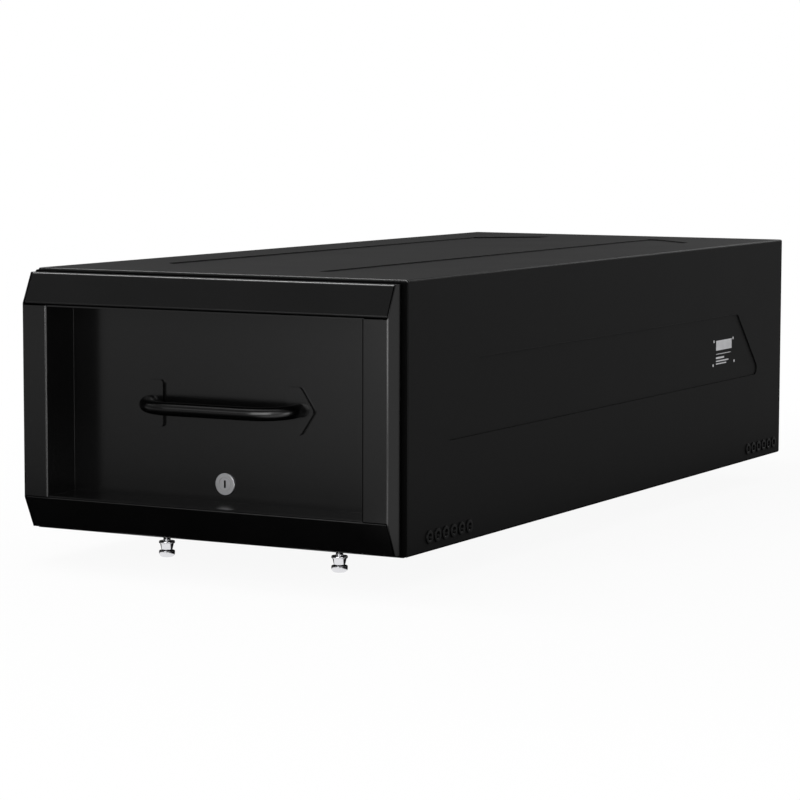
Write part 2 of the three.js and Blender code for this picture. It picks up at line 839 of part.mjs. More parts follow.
function makeLiner() {
  const half = tubInnerHalf - linerMargin;
  const front = camSlotRear + linerBehindSlot;
  const rear = tubRear - tubSheet - linerMargin;
  const bottom = tubFloorTop + fitGap;
  return block([-half, half], [front, rear], [bottom, bottom + linerThickness]);
}

place(drawerGroup, 'front_top_rail', makeTopRail(), frontCoat);
place(drawerGroup, 'front_bottom_rail', makeBottomRail(), frontCoat);
const rightStile = makeStile();
place(drawerGroup, 'front_right_stile', rightStile, frontCoat);
place(drawerGroup, 'front_left_stile', rightStile.mirror([1, 0, 0]), frontCoat);
place(drawerGroup, 'recess_pan', makePan(), frontCoat);
place(drawerGroup, 'handle', makeHandle(), glossBlack, 0, seatFace, handleHeight);
const handleScrew = makePanScrew(
  handleScrewShank,
  handleScrewHead,
  handleScrewHeadHeight,
  handleScrewReach + panelBack - seatFace,
);
for (const [side, sign] of [['left', -1], ['right', 1]]) {
  const x = (sign * handleSpan) / 2;
  place(drawerGroup, `handle_screw_${side}`, handleScrew, zincPlate, x, panelBack + fitGap, handleHeight);
}
place(drawerGroup, 'drawer_tub', makeTub(), blackCoat);
place(drawerGroup, 'drawer_back', makeTubBack(), blackCoat);
place(drawerGroup, 'drawer_liner', makeLiner(), blackRubber);

// Cam lock: body, nut, plug, cam and cam screw, about the lock's own axis

function makeLockBody() {
  const bore = plugDiameter / 2 + plugPlay;
  const face = lockFaceDiameter / 2;
  const faceBack = panelFace - fitGap;
  const faceFront = faceBack - lockFaceThickness;
  return turnedY([
    [bore, faceFront],
    [face - lockFaceEdge, faceFront],
    [face, faceFront + lockFaceEdge],
    [face, faceBack],
    [lockBarrelDiameter / 2, faceBack],
    [lockBarrelDiameter / 2, lockRear],
    [bore, lockRear],
    [bore, faceFront],
  ], lockSides);
}

function makeLockNut() {
  const front = panelBack + fitGap;
  const nut = alongY(hexShape(lockNutAcross), front, front + lockNutThickness);
  const bore = lockBarrelDiameter + 2 * fitGap;
  return nut.subtract(barY(bore, front - overrun, front + lockNutThickness + overrun, 0, 0, lockSides));
}

function makePlug() {
  const front = panelFace - fitGap - lockFaceThickness;
  let plug = barY(plugDiameter, front, lockRear, 0, 0, lockSides);
  const half = tangSize / 2;
  plug = plug.add(block([-half, half], [lockRear - overrun, camRear], [-half, half]));
  const slotX = [-keySlotWidth / 2, keySlotWidth / 2];
  const slotZ = [-keySlotHeight / 2, keySlotHeight / 2];
  plug = plug.subtract(block(slotX, [front - overrun, front + keySlotDepth], slotZ));
  const bore = camScrewShank + 2 * fitGap;
  return plug.subtract(barY(bore, camRear - camScrewReach, camRear + overrun, 0, 0, boltSides));
}

// The cam points to +X while the lock is open and turns down behind the strike.
function makeCam() {
  const tip = camWidth / 2;
  const outline = new THREE.Shape();
  outline.absarc(0, 0, camWidth / 2, Math.PI / 2, (3 * Math.PI) / 2, false);
  outline.lineTo(camReach - tip / 2, -camWidth / 2);
  outline.lineTo(camReach, -tip / 2);
  outline.lineTo(camReach, tip / 2);
  outline.lineTo(camReach - tip / 2, camWidth / 2);
  outline.closePath();
  const half = tangSize / 2 + fitGap;
  const settings = { depth: camThickness, bevelEnabled: false, curveSegments: boltSides / 2 };
  const geometry = new THREE.ExtrudeGeometry(outline, settings);
  const plate = solidFrom(geometry.rotateX(Math.PI / 2).translate(0, camRear, 0));
  return plate.subtract(block([-half, half], [camFront - overrun, camRear + overrun], [-half, half]));
}

place(lockGroup, 'lock_body', makeLockBody(), satinNickel);
place(lockGroup, 'lock_nut', makeLockNut(), zincPlate);
place(lockGroup, 'lock_plug', makePlug(), satinNickel);
place(lockGroup, 'lock_cam', makeCam(), zincPlate);
const camScrew = makePanScrew(camScrewShank, camScrewHead, camScrewHeadHeight, camScrewReach - fitGap);
place(lockGroup, 'cam_screw', camScrew, zincPlate, 0, camRear + fitGap, 0);

// Slides: channel sections drawn with depth measured inward from the outer face of the slide

function slideSection(inset, edge, half, thickness) {
  const u = (depth) => slideOuterFace - depth;
  const opensInward = edge > inset;
  return foldedShape([
    [u(edge), slideCentre + half],
    [u(inset), slideCentre + half],
    [u(inset), slideCentre - half],
    [u(edge), slideCentre - half],
  ], opensInward ? -thickness : thickness);
}

function makeSlideMember(inset, edge, half) {
  return alongY(slideSection(inset, edge, half, slideSheet), slideFront, slideFront + slideLength);
}

// A retainer: a thin channel with a row of balls in its upper and its lower flange.
function makeRetainer(inset, flange, ballHalf) {
  const middle = slideFront + slideLength / 2;
  const ends = [middle - retainerLength / 2, middle + retainerLength / 2];
  const section = slideSection(inset, inset + flange, ballHalf + retainerSheet / 2, retainerSheet);
  let retainer = alongY(section, ends[0], ends[1]);
  const pitch = retainerLength / ballsPerRow;
  const ballX = slideOuterFace - inset - flange + ballDiameter / 2;
  for (let i = 0; i < ballsPerRow; i += 1) {
    for (const z of [slideCentre - ballHalf, slideCentre + ballHalf]) {
      const ball = new THREE.SphereGeometry(ballDiameter / 2, ballSides, ballRings);
      retainer = retainer.add(solidFrom(ball.translate(ballX, ends[0] + pitch * (i + 1 / 2), z)));
    }
  }
  return retainer;
}

function makeSpacer() {
  const outer = caseHalf - sheet - fitGap;
  const height = [slideCentre - spacerHeight / 2, slideCentre + spacerHeight / 2];
  return block([outer - spacerThickness, outer], [slideFront, slideFront + slideLength], height);
}

const outerBalls = middleHalf + ballPath / 2;
const innerBalls = innerHalf + ballPath / 2;
const outerRetainer = makeRetainer(outerRetainerInset, outerRetainerFlange, outerBalls);
const innerRetainer = makeRetainer(innerRetainerInset, innerRetainerFlange, innerBalls);
const rightSlide = [
  [caseGroup, 'slide_spacer', makeSpacer(), zincPlate],
  [caseGroup, 'slide_outer', makeSlideMember(0, outerFlange, outerHalf), slideSteel],
  [slideGroup, 'slide_middle', makeSlideMember(middleWebInset, middleWebInset + middleFlange, middleHalf),
    slideSteel],
  [drawerGroup, 'slide_inner', makeSlideMember(slideThickness, slideThickness - innerFlange, innerHalf),
    slideSteel],
  [slideGroup, 'outer_retainer', outerRetainer, zincPlate],
  [slideGroup, 'inner_retainer', innerRetainer, zincPlate],
];
for (const [group, name, solid, material] of rightSlide) {
  place(group, `${name}_right`, solid, material);
  place(group, `${name}_left`, solid.mirror([1, 0, 0]), material);
}

// The whole safe stands on its studs, its origin under the middle of its length.
const rearMost = caseDepth + fitGap + rearScrewHeadHeight;
safe.position.set(0, -(bezelFront + rearMost) / 2, studDrop);

export default safe;
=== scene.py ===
import math

import bmesh
import bpy
from mathutils import Matrix, Vector


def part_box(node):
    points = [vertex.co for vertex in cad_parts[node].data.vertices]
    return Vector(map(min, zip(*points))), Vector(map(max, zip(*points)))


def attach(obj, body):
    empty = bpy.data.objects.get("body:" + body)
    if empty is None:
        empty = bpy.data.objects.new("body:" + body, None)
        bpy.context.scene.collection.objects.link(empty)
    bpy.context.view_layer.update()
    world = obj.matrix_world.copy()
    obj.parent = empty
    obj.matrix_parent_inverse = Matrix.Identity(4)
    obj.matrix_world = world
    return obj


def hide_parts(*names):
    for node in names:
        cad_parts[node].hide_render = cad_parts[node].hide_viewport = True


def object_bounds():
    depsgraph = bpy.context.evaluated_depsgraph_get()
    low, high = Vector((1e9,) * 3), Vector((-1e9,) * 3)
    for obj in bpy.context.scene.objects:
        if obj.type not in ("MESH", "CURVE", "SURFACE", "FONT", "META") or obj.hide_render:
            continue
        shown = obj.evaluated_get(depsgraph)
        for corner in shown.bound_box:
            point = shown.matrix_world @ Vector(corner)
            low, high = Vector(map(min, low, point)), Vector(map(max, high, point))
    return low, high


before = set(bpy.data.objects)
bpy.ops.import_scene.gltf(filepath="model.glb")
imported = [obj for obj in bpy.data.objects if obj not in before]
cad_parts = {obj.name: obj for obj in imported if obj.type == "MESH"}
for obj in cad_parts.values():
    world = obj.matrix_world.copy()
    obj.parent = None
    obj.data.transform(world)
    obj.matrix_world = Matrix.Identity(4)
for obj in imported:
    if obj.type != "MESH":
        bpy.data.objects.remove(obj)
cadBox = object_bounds()
print("frame loaded:", len(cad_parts), "nodes")

# Shapes are drawn in millimetres from the middle of the case's front rim, at its underside.
mm = 0.001
tiny = 0.001  # lengths and turns below this count as none
over = 1  # how far a cutter runs past what it cuts
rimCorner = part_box("case_shell")[0]
shopOrigin = Vector((0, rimCorner.y, rimCorner.z))


def spanOf(node):
    low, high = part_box(node)
    return (low - shopOrigin) / mm, (high - shopOrigin) / mm


def middleOf(node):
    return [(a + b) / 2 for a, b in zip(*spanOf(node))]


def turns(degrees):
    return [math.radians(a) for a in degrees]


quarterTurn = turns(range(0, 91, 15))

# Outlines


def offsetCorner(before, corner, after, distance):
    inward = (corner - before).normalized()
    outward = (after - corner).normalized()
    sideIn = Vector((-inward.y, inward.x))
    sideOut = Vector((-outward.y, outward.x))
    middle = (sideIn + sideOut).normalized()
    return corner + middle * (distance / middle.dot(sideIn))


def arcAt(before, corner, after, radius, steps):
    inward = (corner - before).normalized()
    outward = (after - corner).normalized()
    turn = math.atan2(inward.x * outward.y - inward.y * outward.x, inward.dot(outward))
    if abs(turn) < tiny or radius <= 0:
        return [corner]
    side = Vector((-inward.y, inward.x)) * math.copysign(1, turn)
    start = corner - inward * (radius * math.tan(abs(turn) / 2))
    centre = start + side * radius
    arm = start - centre
    return [centre + Matrix.Rotation(turn * i / steps, 2) @ arm for i in range(steps + 1)]


def roundedOutline(corners, radius, steps=5):
    points = [Vector(c) for c in corners]
    count = len(points)
    outline = []
    radii = radius if isinstance(radius, tuple) else (radius,) * count
    for i, corner in enumerate(points):
        outline += arcAt(points[i - 1], corner, points[(i + 1) % count], radii[i], steps)
    return outline


def foldedOutline(corners, thickness, bend, steps=5):
    # A run of outside corners, its sheet on the left, or on the right where thickness is negative.
    # The bend is the inside radius of every fold, or one for each corner.
    run = [Vector(c) for c in corners]
    outer, inner = [], []
    last = len(run) - 1
    bends = bend if isinstance(bend, tuple) else (bend,) * len(run)
    for i, corner in enumerate(run):
        before = run[i - 1] if i > 0 else corner * 2 - run[1]
        after = run[i + 1] if i < last else corner * 2 - run[last - 1]
        moved = offsetCorner(before, corner, after, thickness)
        if i in (0, last):
            outer.append(corner)
            inner.append(moved)
            continue
        inward, outward = corner - before, after - corner
        turnsLeft = inward.x * outward.y - inward.y * outward.x > 0
        wide, tight = bends[i] + abs(thickness), bends[i]
        sheetInside = turnsLeft == (thickness > 0)
        outer += arcAt(before, corner, after, wide if sheetInside else tight, steps)
        shift = moved - corner
        inner += arcAt(before + shift, moved, after + shift, tight if sheetInside else wide, steps)
    return outer + inner[::-1]


def box2(a0, a1, b0, b1):
    return [(a0, b0), (a1, b0), (a1, b1), (a0, b1)]


# Solids


def axisPoint(axis, a, b, along):
    if axis == "x":
        return Vector((along, a, b))
    if axis == "y":
        return Vector((a, along, b))
    return Vector((a, b, along))


def lofted(rings):
    # Rings of as many points each, joined one to the next and closed at both ends.
    form = bmesh.new()
    loops = [[form.verts.new(point) for point in ring] for ring in rings]
    count = len(loops[0])
    for low, high in zip(loops, loops[1:]):
        for i in range(count):
            j = (i + 1) % count
            form.faces.new((low[i], low[j], high[j], high[i]))
    form.faces.new(loops[0])
    form.faces.new(loops[-1][::-1])
    bmesh.ops.recalc_face_normals(form, faces=form.faces)
    return form


def prism(outline, axis, start, end):
    return lofted([[axisPoint(axis, p[0], p[1], along) for p in outline] for along in (start, end)])


def lathe(profile, axis, centre=(0, 0, 0), steps=48):
    # A profile of (radius, along) points that starts and ends on the axis, or closes on itself.
    # A point may be a function of the angle that gives such a pair.
    form = bmesh.new()
    onAxis = profile[0][0] == 0 if isinstance(profile[0], tuple) else False
    rings = []
    for spot in profile:
        if isinstance(spot, tuple) and spot[0] == 0:
            rings.append([form.verts.new(axisPoint(axis, 0, 0, spot[1]))])
            continue
        ring = []
        for k in range(steps):
            angle = 2 * math.pi * k / steps
            radius, along = spot(angle) if callable(spot) else spot
            a, b = radius * math.cos(angle), radius * math.sin(angle)
            ring.append(form.verts.new(axisPoint(axis, a, b, along)))
        rings.append(ring)
    pairs = list(zip(rings, rings[1:])) + ([] if onAxis else [(rings[-1], rings[0])])
    for low, high in pairs:
        for k in range(steps):
            n = (k + 1) % steps
            corners = [low[k % len(low)], low[n % len(low)],
                       high[n % len(high)], high[k % len(high)]]
            form.faces.new(list(dict.fromkeys(corners)))
    bmesh.ops.recalc_face_normals(form, faces=form.faces)
    bmesh.ops.translate(form, verts=form.verts, vec=Vector(centre))
    return form


def rod(radius, axis, start, end, centre=(0, 0, 0), steps=28):
    return lathe([(0, start), (radius, start), (radius, end), (0, end)], axis, centre, steps)


def threadRings(radius, depth, pitch, low, high, perTurn=6):
    # Rings of a screw thread, fading into the plain bar at both ends.
    count = max(2, round((high - low) / pitch * perTurn))
    rings = []
    for i in range(count + 1):
        along = low + (high - low) * i / count
        fade = min(1, (along - low) / pitch, (high - along) / pitch)

        def ring(angle, along=along, fade=fade):
            phase = (along / pitch - angle / (2 * math.pi)) % 1
            return radius - depth * fade * abs(2 * phase - 1), along

        rings.append(ring)
    return rings


nutShape = {"crown": 0.96, "chamfer": 30, "steps": 60}


def hexNut(across, height, bore, axis, start, centre):
    # A nut whose corners are turned down on both faces.
    flat = across / 2
    crown = flat * nutShape["crown"]
    slope = math.tan(math.radians(nutShape["chamfer"]))

    def hexRadius(angle):
        return flat / math.cos((angle + math.pi / 6) % (math.pi / 3) - math.pi / 6)

    def drop(angle):
        return max(0, hexRadius(angle) - crown) * slope

    rings = [
        (bore, start), (crown, start),
        lambda angle: (hexRadius(angle), start + drop(angle)),
        lambda angle: (hexRadius(angle), start + height - drop(angle)),
        (crown, start + height), (bore, start + height),
    ]
    return lathe(rings, axis, centre, nutShape["steps"])


def dome(radius, base, height, skirt, degrees):
    # The crown of a screw head; its upright skirt takes this share of the height.
    return [(radius * math.cos(t), base + height * (skirt + (1 - skirt) * math.sin(t)))
            for t in turns(degrees)]


# Objects


def added(name, data):
    thing = bpy.data.objects.new(name, data)
    bpy.context.scene.collection.objects.link(thing)
    return thing


def asMesh(form, name):
    mesh = bpy.data.meshes.new(name)
    form.to_mesh(mesh)
    form.free()
    return mesh


def asObject(form, name):
    return added(name, asMesh(form, name))


def together(forms, name):
    whole = bmesh.new()
    for form in forms:
        part = asMesh(form, "part")
        whole.from_mesh(part)
        bpy.data.meshes.remove(part)
    return asObject(whole, name)


def reshape(piece, change):
    form = bmesh.new()
    form.from_mesh(piece.data)
    change(form)
    form.to_mesh(piece.data)
    form.free()


def baked(piece):
    bpy.context.view_layer.update()
    graph = bpy.context.evaluated_depsgraph_get()
    mesh = bpy.data.meshes.new_from_object(piece.evaluated_get(graph))
    piece.modifiers.clear()
    old = piece.data
    piece.data = mesh
    bpy.data.meshes.remove(old)


def combine(piece, form, operation):
    tool = asObject(form, "tool")
    change = piece.modifiers.new("change", "BOOLEAN")
    change.operation = operation
    change.solver = "EXACT"
    change.object = tool
    baked(piece)
    bpy.data.objects.remove(tool)


def cut(piece, form):
    combine(piece, form, "DIFFERENCE")


def weld(piece, form):
    combine(piece, form, "UNION")


def mergeFlats(form):
    flat = math.radians(0.5)
    bmesh.ops.dissolve_limit(form, angle_limit=flat, verts=form.verts, edges=form.edges)


def softenEdges(piece, radius, segments=3, angle=40):
    def clean(form):
        bmesh.ops.remove_doubles(form, verts=form.verts, dist=tiny)
        mergeFlats(form)

    reshape(piece, clean)
    bevel = piece.modifiers.new("soft edges", "BEVEL")
    bevel.width = radius
    bevel.segments = segments
    bevel.limit_method = "ANGLE"
    bevel.angle_limit = math.radians(angle)
    bevel.use_clamp_overlap = True
    baked(piece)


def roundEdges(piece, radius, wanted, segments=5, clamp=True):
    # Rounds the edges whose two ends the test picks.
    def bevel(form):
        edges = [e for e in form.edges if all(wanted(v.co) for v in e.verts)]
        bmesh.ops.bevel(form, geom=edges, offset=radius, segments=segments, profile=0.5,
                        affect="EDGES", clamp_overlap=clamp)

    reshape(piece, bevel)


def fit(piece, material, body, nodes=(), smooth=35):
    piece.data.transform(Matrix.Translation(shopOrigin) @ Matrix.Scale(mm, 4))
    piece.data.materials.clear()
    piece.data.materials.append(material)
    piece.data.shade_smooth()
    piece.data.set_sharp_from_angle(angle=math.radians(smooth))
    normals = piece.modifiers.new("flat faces", "WEIGHTED_NORMAL")
    normals.keep_sharp = True
    baked(piece)
    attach(piece, body)
    if nodes:
        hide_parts(*nodes)


leans = 0.08  # a face leans some way if its normal has more than this of it


def paintLightAndShade(piece, material, wanted):
    # Painted highlights, painted light and painted shade: a second finish on the faces that the
    # test picks by their middle, in the shop's millimetres, and their normal.
    piece.data.materials.append(material)
    for face in piece.data.polygons:
        if wanted((face.center - shopOrigin) / mm, face.normal):
            face.material_index = len(piece.data.materials) - 1


def mirrored(piece, name):
    copy = added(name, piece.data.copy())
    copy.data.transform(Matrix.Scale(-1, 4, Vector((1, 0, 0))))
    copy.data.flip_normals()
    return copy


# Materials

surface = {"driftDetail": 3, "driftSpan": (0.3, 0.7), "grainDetail": 2, "blue": 1.03}


def grey(level):
    return (level, level, level * surface["blue"], 1)


def plain(level):
    return (level, level, level, 1)


def setInputs(tree, node, inputs):
    # By name or number: a socket is linked, and what is the same everywhere is set on the node.
    for socket, value in inputs.items():
        if isinstance(value, bpy.types.NodeSocket):
            tree.links.new(value, node.inputs[socket])
        else:
            node.inputs[socket].default_value = value


def newNode(tree, kind, inputs):
    node = tree.nodes.new(kind)
    setInputs(tree, node, inputs)
    return node


def newMaterial(name):
    material = bpy.data.materials.new(name)
    material.use_nodes = True
    return material, material.node_tree, material.node_tree.nodes["Principled BSDF"]


def grained(name, tones, roughness, drift, grain, metallic=0, specular=0.5):
    # Paint, plating or rubber: tones and roughness that drift slowly, over a fine grain.
    material, tree, shader = newMaterial(name)
    place = tree.nodes.new("ShaderNodeTexCoord").outputs["Object"]
    slow = newNode(tree, "ShaderNodeTexNoise", {
        "Vector": place, "Scale": drift, "Detail": surface["driftDetail"]}).outputs["Fac"]
    colours = newNode(tree, "ShaderNodeValToRGB", {"Fac": slow})
    for stop, position, level in zip(colours.color_ramp.elements, surface["driftSpan"], tones):
        stop.position, stop.color = position, grey(level)
    gloss = newNode(tree, "ShaderNodeMapRange", {
        "Value": slow, "To Min": roughness[0], "To Max": roughness[1]})
    scale, strength, depth = grain
    fine = newNode(tree, "ShaderNodeTexNoise", {
        "Vector": place, "Scale": scale, "Detail": surface["grainDetail"]})
    relief = newNode(tree, "ShaderNodeBump", {
        "Height": fine.outputs["Fac"], "Strength": strength, "Distance": depth * mm})
    setInputs(tree, shader, {
        "Base Color": colours.outputs["Color"], "Metallic": metallic,
        "Specular IOR Level": specular, "Roughness": gloss.outputs["Result"],
        "Normal": relief.outputs["Normal"]})
    return material


# Each has its tones, roughness, the drift's scale, and the grain's scale, strength and depth in
# millimetres.
caseCoat = grained("case powder coat", (0.004, 0.0055), (0.46, 0.54), 9, (900, 0.25, 0.08),
                   specular=0.11)
frontCoat = grained("drawer front coat", (0.0012, 0.0018), (0.17, 0.21), 11, (1100, 0.12, 0.05),
                    specular=0.48)
# A lighter, glossier copy of the front coat: the painted highlight that the folds take.
foldHighlightCoat = grained("painted fold highlight", (0.002, 0.003), (0.17, 0.21), 11, (1100, 0.12, 0.05),
                    specular=0.85)
# The tub's own coat; the same lighter grey is painted on the case's upper press fold as painted
# light.
tubCoatAndLight = grained("drawer tub coat and painted light", (0.018, 0.023), (0.42, 0.5), 9, (900, 0.25, 0.08),
                  specular=0.4)
handleGloss = grained("handle gloss", (0.0005, 0.0009), (0.2, 0.24), 20, (700, 0.05, 0.03),
                      specular=0.45)
# Real rubber for the seal, bumpers and liner; the same black is painted on folds as painted shade.
rubberAndShade = grained("black rubber and painted shade", (0.0008, 0.0014), (0.75, 0.88), 30, (1500, 0.3, 0.1),
                 specular=0.04)
whiteInk = grained("white print", (0.72, 0.8), (0.5, 0.6), 90, (1400, 0.1, 0.03), specular=0.3)
chrome = grained("chrome", (0.70, 0.76), (0.08, 0.14), 60, (900, 0.03, 0.02), metallic=1)
nickel = grained("satin nickel", (0.58, 0.63), (0.32, 0.4), 80, (2500, 0.06, 0.02), metallic=1)
zinc = grained("zinc plate", (0.42, 0.56), (0.3, 0.46), 70, (1600, 0.1, 0.03), metallic=1)
slideSteel = grained("slide steel", (0.38, 0.48), (0.26, 0.38), 16, (1400, 0.08, 0.03), metallic=1)
# Black oxide on the rivet nuts and rear screws; the same dark is painted inside the key slot as
# painted shade.
blackOxideAndShade = grained("black oxide steel and painted shade", (0.004, 0.008), (0.35, 0.45), 80, (1600, 0.15, 0.04),
                     metallic=0.5, specular=0.25)
print("materials made")

# Case shell with its pressed panels

case = {
    "width": 440, "height": 274, "depth": 1012.7, "sheet": 2, "fold": 2.4, "foldSteps": 7,
    "rimRound": 1.4, "rimFlange": 7, "bottomFlange": 18, "rearFlange": 18,
    "pressDepth": 1.4, "pressCorner": 8, "pressEdge": 0.55, "shadedFoldNormal": 0.6,
    "topPress": [(70, 71), (150, 142), (150, 872), (70, 943)],
    "sidePress": [(71, 107.5), (942, 107.5), (864, 187.5), (149, 187.5)],
    "nutRows": (45, 903.5), "nutsInRow": 6, "nutPitch": 17.5, "nutHeight": 15, "nutHole": 11.6,
}
caseHalf = case["width"] / 2


def nutPlaces(rowStart):
    return [rowStart + case["nutPitch"] * i for i in range(case["nutsInRow"])]


def makeCase():
    c = case
    height, depth, sheet, press = c["height"], c["depth"], c["sheet"], c["pressDepth"]
    outline = roundedOutline(box2(-caseHalf, caseHalf, 0, height), c["fold"], c["foldSteps"])
    shell = asObject(prism(outline, "y", 0, depth), "caseShell")
    roundEdges(shell, c["rimRound"], lambda co: abs(co.y) < tiny, segments=4, clamp=False)
    for sign in (-1, 1):
        top = [(sign * x, y) for x, y in c["topPress"]]
        cut(shell, prism(roundedOutline(top, c["pressCorner"]), "z", height - press, height + over))
        span = sorted((sign * (caseHalf - press), sign * (caseHalf + over)))
        cut(shell, prism(roundedOutline(c["sidePress"], c["pressCorner"]), "x", *span))
        span = sorted((sign * (caseHalf - sheet - over), sign * (caseHalf + over)))
        for row in c["nutRows"]:
            for y in nutPlaces(row):
                cut(shell, rod(c["nutHole"] / 2, "x", *span, (0, y, c["nutHeight"])))
    softenEdges(shell, c["pressEdge"], angle=50)
    inner, ceiling = caseHalf - sheet - press, height - sheet - press
    cut(shell, prism(box2(-inner, inner, sheet, ceiling), "y", sheet, depth - sheet))
    for flange, span in ((c["rimFlange"], (-over, sheet + over)),
                         (c["rearFlange"], (depth - sheet - over, depth + over))):
        half = caseHalf - flange
        cut(shell, prism(box2(-half, half, flange, height - flange), "y", *span))
    flange = c["bottomFlange"]
    half = caseHalf - flange
    cut(shell, prism(box2(-half, half, flange, depth - flange), "z", -over, sheet + over))
    fit(shell, caseCoat, "case", ["case_shell"])
    # The front rim's top edge takes the glossier finish as a painted highlight. The side presses'
    # lower fold takes black as a painted shade line, and the upper one a lighter coat as painted
    # light, so it hardly shows. In the photograph the side presses' lower fold is a dark line and
    # the upper one hardly shows, so these finishes are matched to it.
    paintLightAndShade(shell, foldHighlightCoat, lambda co, normal: co.y < c["rimRound"]
           and normal.z > leans and normal.y < -leans)
    shadedFold, lightenedFold = c["sidePress"][0][1], c["sidePress"][2][1]
    paintLightAndShade(shell, rubberAndShade, lambda co, normal: abs(co.z - shadedFold) < press
           and normal.z > c["shadedFoldNormal"])
    paintLightAndShade(shell, tubCoatAndLight, lambda co, normal: abs(co.z - lightenedFold) < press and normal.z < -leans)


makeCase()
print("case shell made")

# Rivet nuts, six in each row

rivetNut = {
    "flange": 7, "proud": 1.5, "flangeRound": 0.5, "roundMiddle": 0.15, "barrel": 5.5, "length": 11,
    "bore": 3.4, "threadDepth": 0.35, "threadPitch": 1.25, "mouth": 0.6, "steps": 32,
}


def rivetNutForm(sign, y):
    n = rivetNut
    face, end = caseHalf + n["proud"], caseHalf - n["length"]
    flange, bore, mouth, pitch = n["flange"], n["bore"], n["mouth"], n["threadPitch"]
    bend, middle = n["flangeRound"], n["roundMiddle"]
    outline = [(n["barrel"], end), (n["barrel"], caseHalf), (flange, caseHalf),
               (flange, face - bend), (flange - middle, face - middle), (flange - bend, face),
               (bore + mouth, face), (bore, face - mouth)]
    for i in range(int((n["length"] - mouth) / pitch)):
        crest = face - mouth - pitch * (i + 0.5)
        outline += [(bore + n["threadDepth"], crest), (bore, crest - pitch / 2)]
    outline += [(bore, end)]
    profile = [(radius, sign * x) for radius, x in outline]
    return lathe(profile, "x", (0, y, case["nutHeight"]), n["steps"])


def makeRivetNuts():
    for side, sign in (("Left", -1), ("Right", 1)):
        for end, row in zip(("Front", "Rear"), case["nutRows"]):
            forms = [rivetNutForm(sign, y) for y in nutPlaces(row)]
            fit(together(forms, f"rivetNuts{end}{side}"), blackOxideAndShade, "case")


makeRivetNuts()

# Printed mark on the case's right side: plain dots and bars

mark = {
    "lift": 0.01, "thick": 0.12, "dotRadius": 1.8, "dotSteps": 20, "barCorner": 0.35, "barSteps": 3,
    "dots": [(791, 158), (852.5, 158.5), (789, 129), (857, 130)],
    "bars": [((798, 848), (146.5, 158.5)), ((798, 845), (141.6, 142.4)),
             ((798, 824), (136.2, 138.4)), ((798, 838), (132.6, 134.2)),
             ((798, 831), (129.4, 130.8))],
}


def makeMark():
    m = mark
    face = caseHalf - case["pressDepth"] + m["lift"]
    span = (face, face + m["thick"])
    forms = [rod(m["dotRadius"], "x", *span, (0, y, z), m["dotSteps"]) for y, z in m["dots"]]
    forms += [prism(roundedOutline(box2(*ys, *zs), m["barCorner"], m["barSteps"]), "x", *span)
              for ys, zs in m["bars"]]
    fit(together(forms, "sidePrint"), whiteInk, "case")


makeMark()

# Seal between the case's rim and the drawer front, lower at its top, so that the rim shows

seal = {
    "outset": 0.3, "topOutset": 1.8, "width": 6.4, "front": -5.7, "back": -0.3,
    "round": 1.1, "innerCorner": 2,
}


def makeSeal():
    s = seal
    outer = caseHalf - s["outset"]
    inner = outer - s["width"]
    low, high = s["outset"], case["height"] - s["topOutset"]
    outline = roundedOutline(box2(-outer, outer, low, high), case["fold"])
    ring = asObject(prism(outline, "y", s["front"], s["back"]), "frontSeal")
    hole = box2(-inner, inner, low + s["width"], high - s["width"])
    hole = roundedOutline(hole, s["innerCorner"])
    cut(ring, prism(hole, "y", s["front"] - over, s["back"] + over))
    softenEdges(ring, s["round"], segments=4)
    fit(ring, rubberAndShade, "case", ["front_seal"])


makeSeal()

# Rear panel, its screws and the bumpers

rear = {
    "reveal": 1, "front": 1013, "back": 1015, "edge": 0.4, "cornerSteps": 6,
    "screws": 6, "screwHole": 6.6, "screwGap": 0.3,
}
buttonScrew = {
    "shank": 3, "head": 5.5, "height": 3, "reach": 6, "lead": 0.5, "under": 0.15,
    "skirt": 0.18, "domeTurns": (0, 15, 30, 45, 58, 68),
    "socket": 4, "socketDepth": 1.8, "edge": 0.12, "steps": 40,
}
bumper = {
    "radius": 10, "round": 2.5, "washer": 3, "washerDepth": 3, "steps": 40,
    "groove": [(10, 4), (8.2, 6), (10, 9)],  # radius, and distance from the rear panel
}


def makeButtonScrew(name, node, centre):
    b = buttonScrew
    shank, reach, lead = b["shank"], b["reach"], b["lead"]
    crown = dome(b["head"], 0, b["height"], b["skirt"], b["domeTurns"])
    top = crown[-1][1]
    profile = [(0, -reach), (shank - lead, -reach), (shank, lead - reach), (shank, 0),
               (b["head"] - b["under"], 0), *crown, (0, top)]
    screw = asObject(lathe(profile, "y", steps=b["steps"]), name)
    corner = b["socket"] / math.sqrt(3)
    socket = [(corner * math.cos(t), corner * math.sin(t)) for t in turns(range(0, 360, 60))]
    cut(screw, prism(socket, "y", top - b["socketDepth"], top + over))
    softenEdges(screw, b["edge"], segments=2, angle=50)
    screw.data.transform(Matrix.Translation(centre))
    fit(screw, blackOxideAndShade, "case", [node])


def makeRear():
    r = rear
    half, start, end = caseHalf - r["reveal"], r["front"], r["back"]
    outline = roundedOutline(box2(-half, half, r["reveal"], case["height"] - r["reveal"]),
                             case["fold"], r["cornerSteps"])
    panel = asObject(prism(outline, "y", start, end), "rearPanel")
    screws = {i: middleOf(f"rear_screw_{i}") for i in range(1, r["screws"] + 1)}
    for x, y, z in screws.values():
        cut(panel, rod(r["screwHole"] / 2, "y", start - over, end + over, (x, 0, z)))
    softenEdges(panel, r["edge"])
    fit(panel, caseCoat, "case", ["rear_panel"])
    for i, (x, y, z) in screws.items():
        makeButtonScrew(f"rearScrew{i}", f"rear_screw_{i}", Vector((x, end + r["screwGap"], z)))


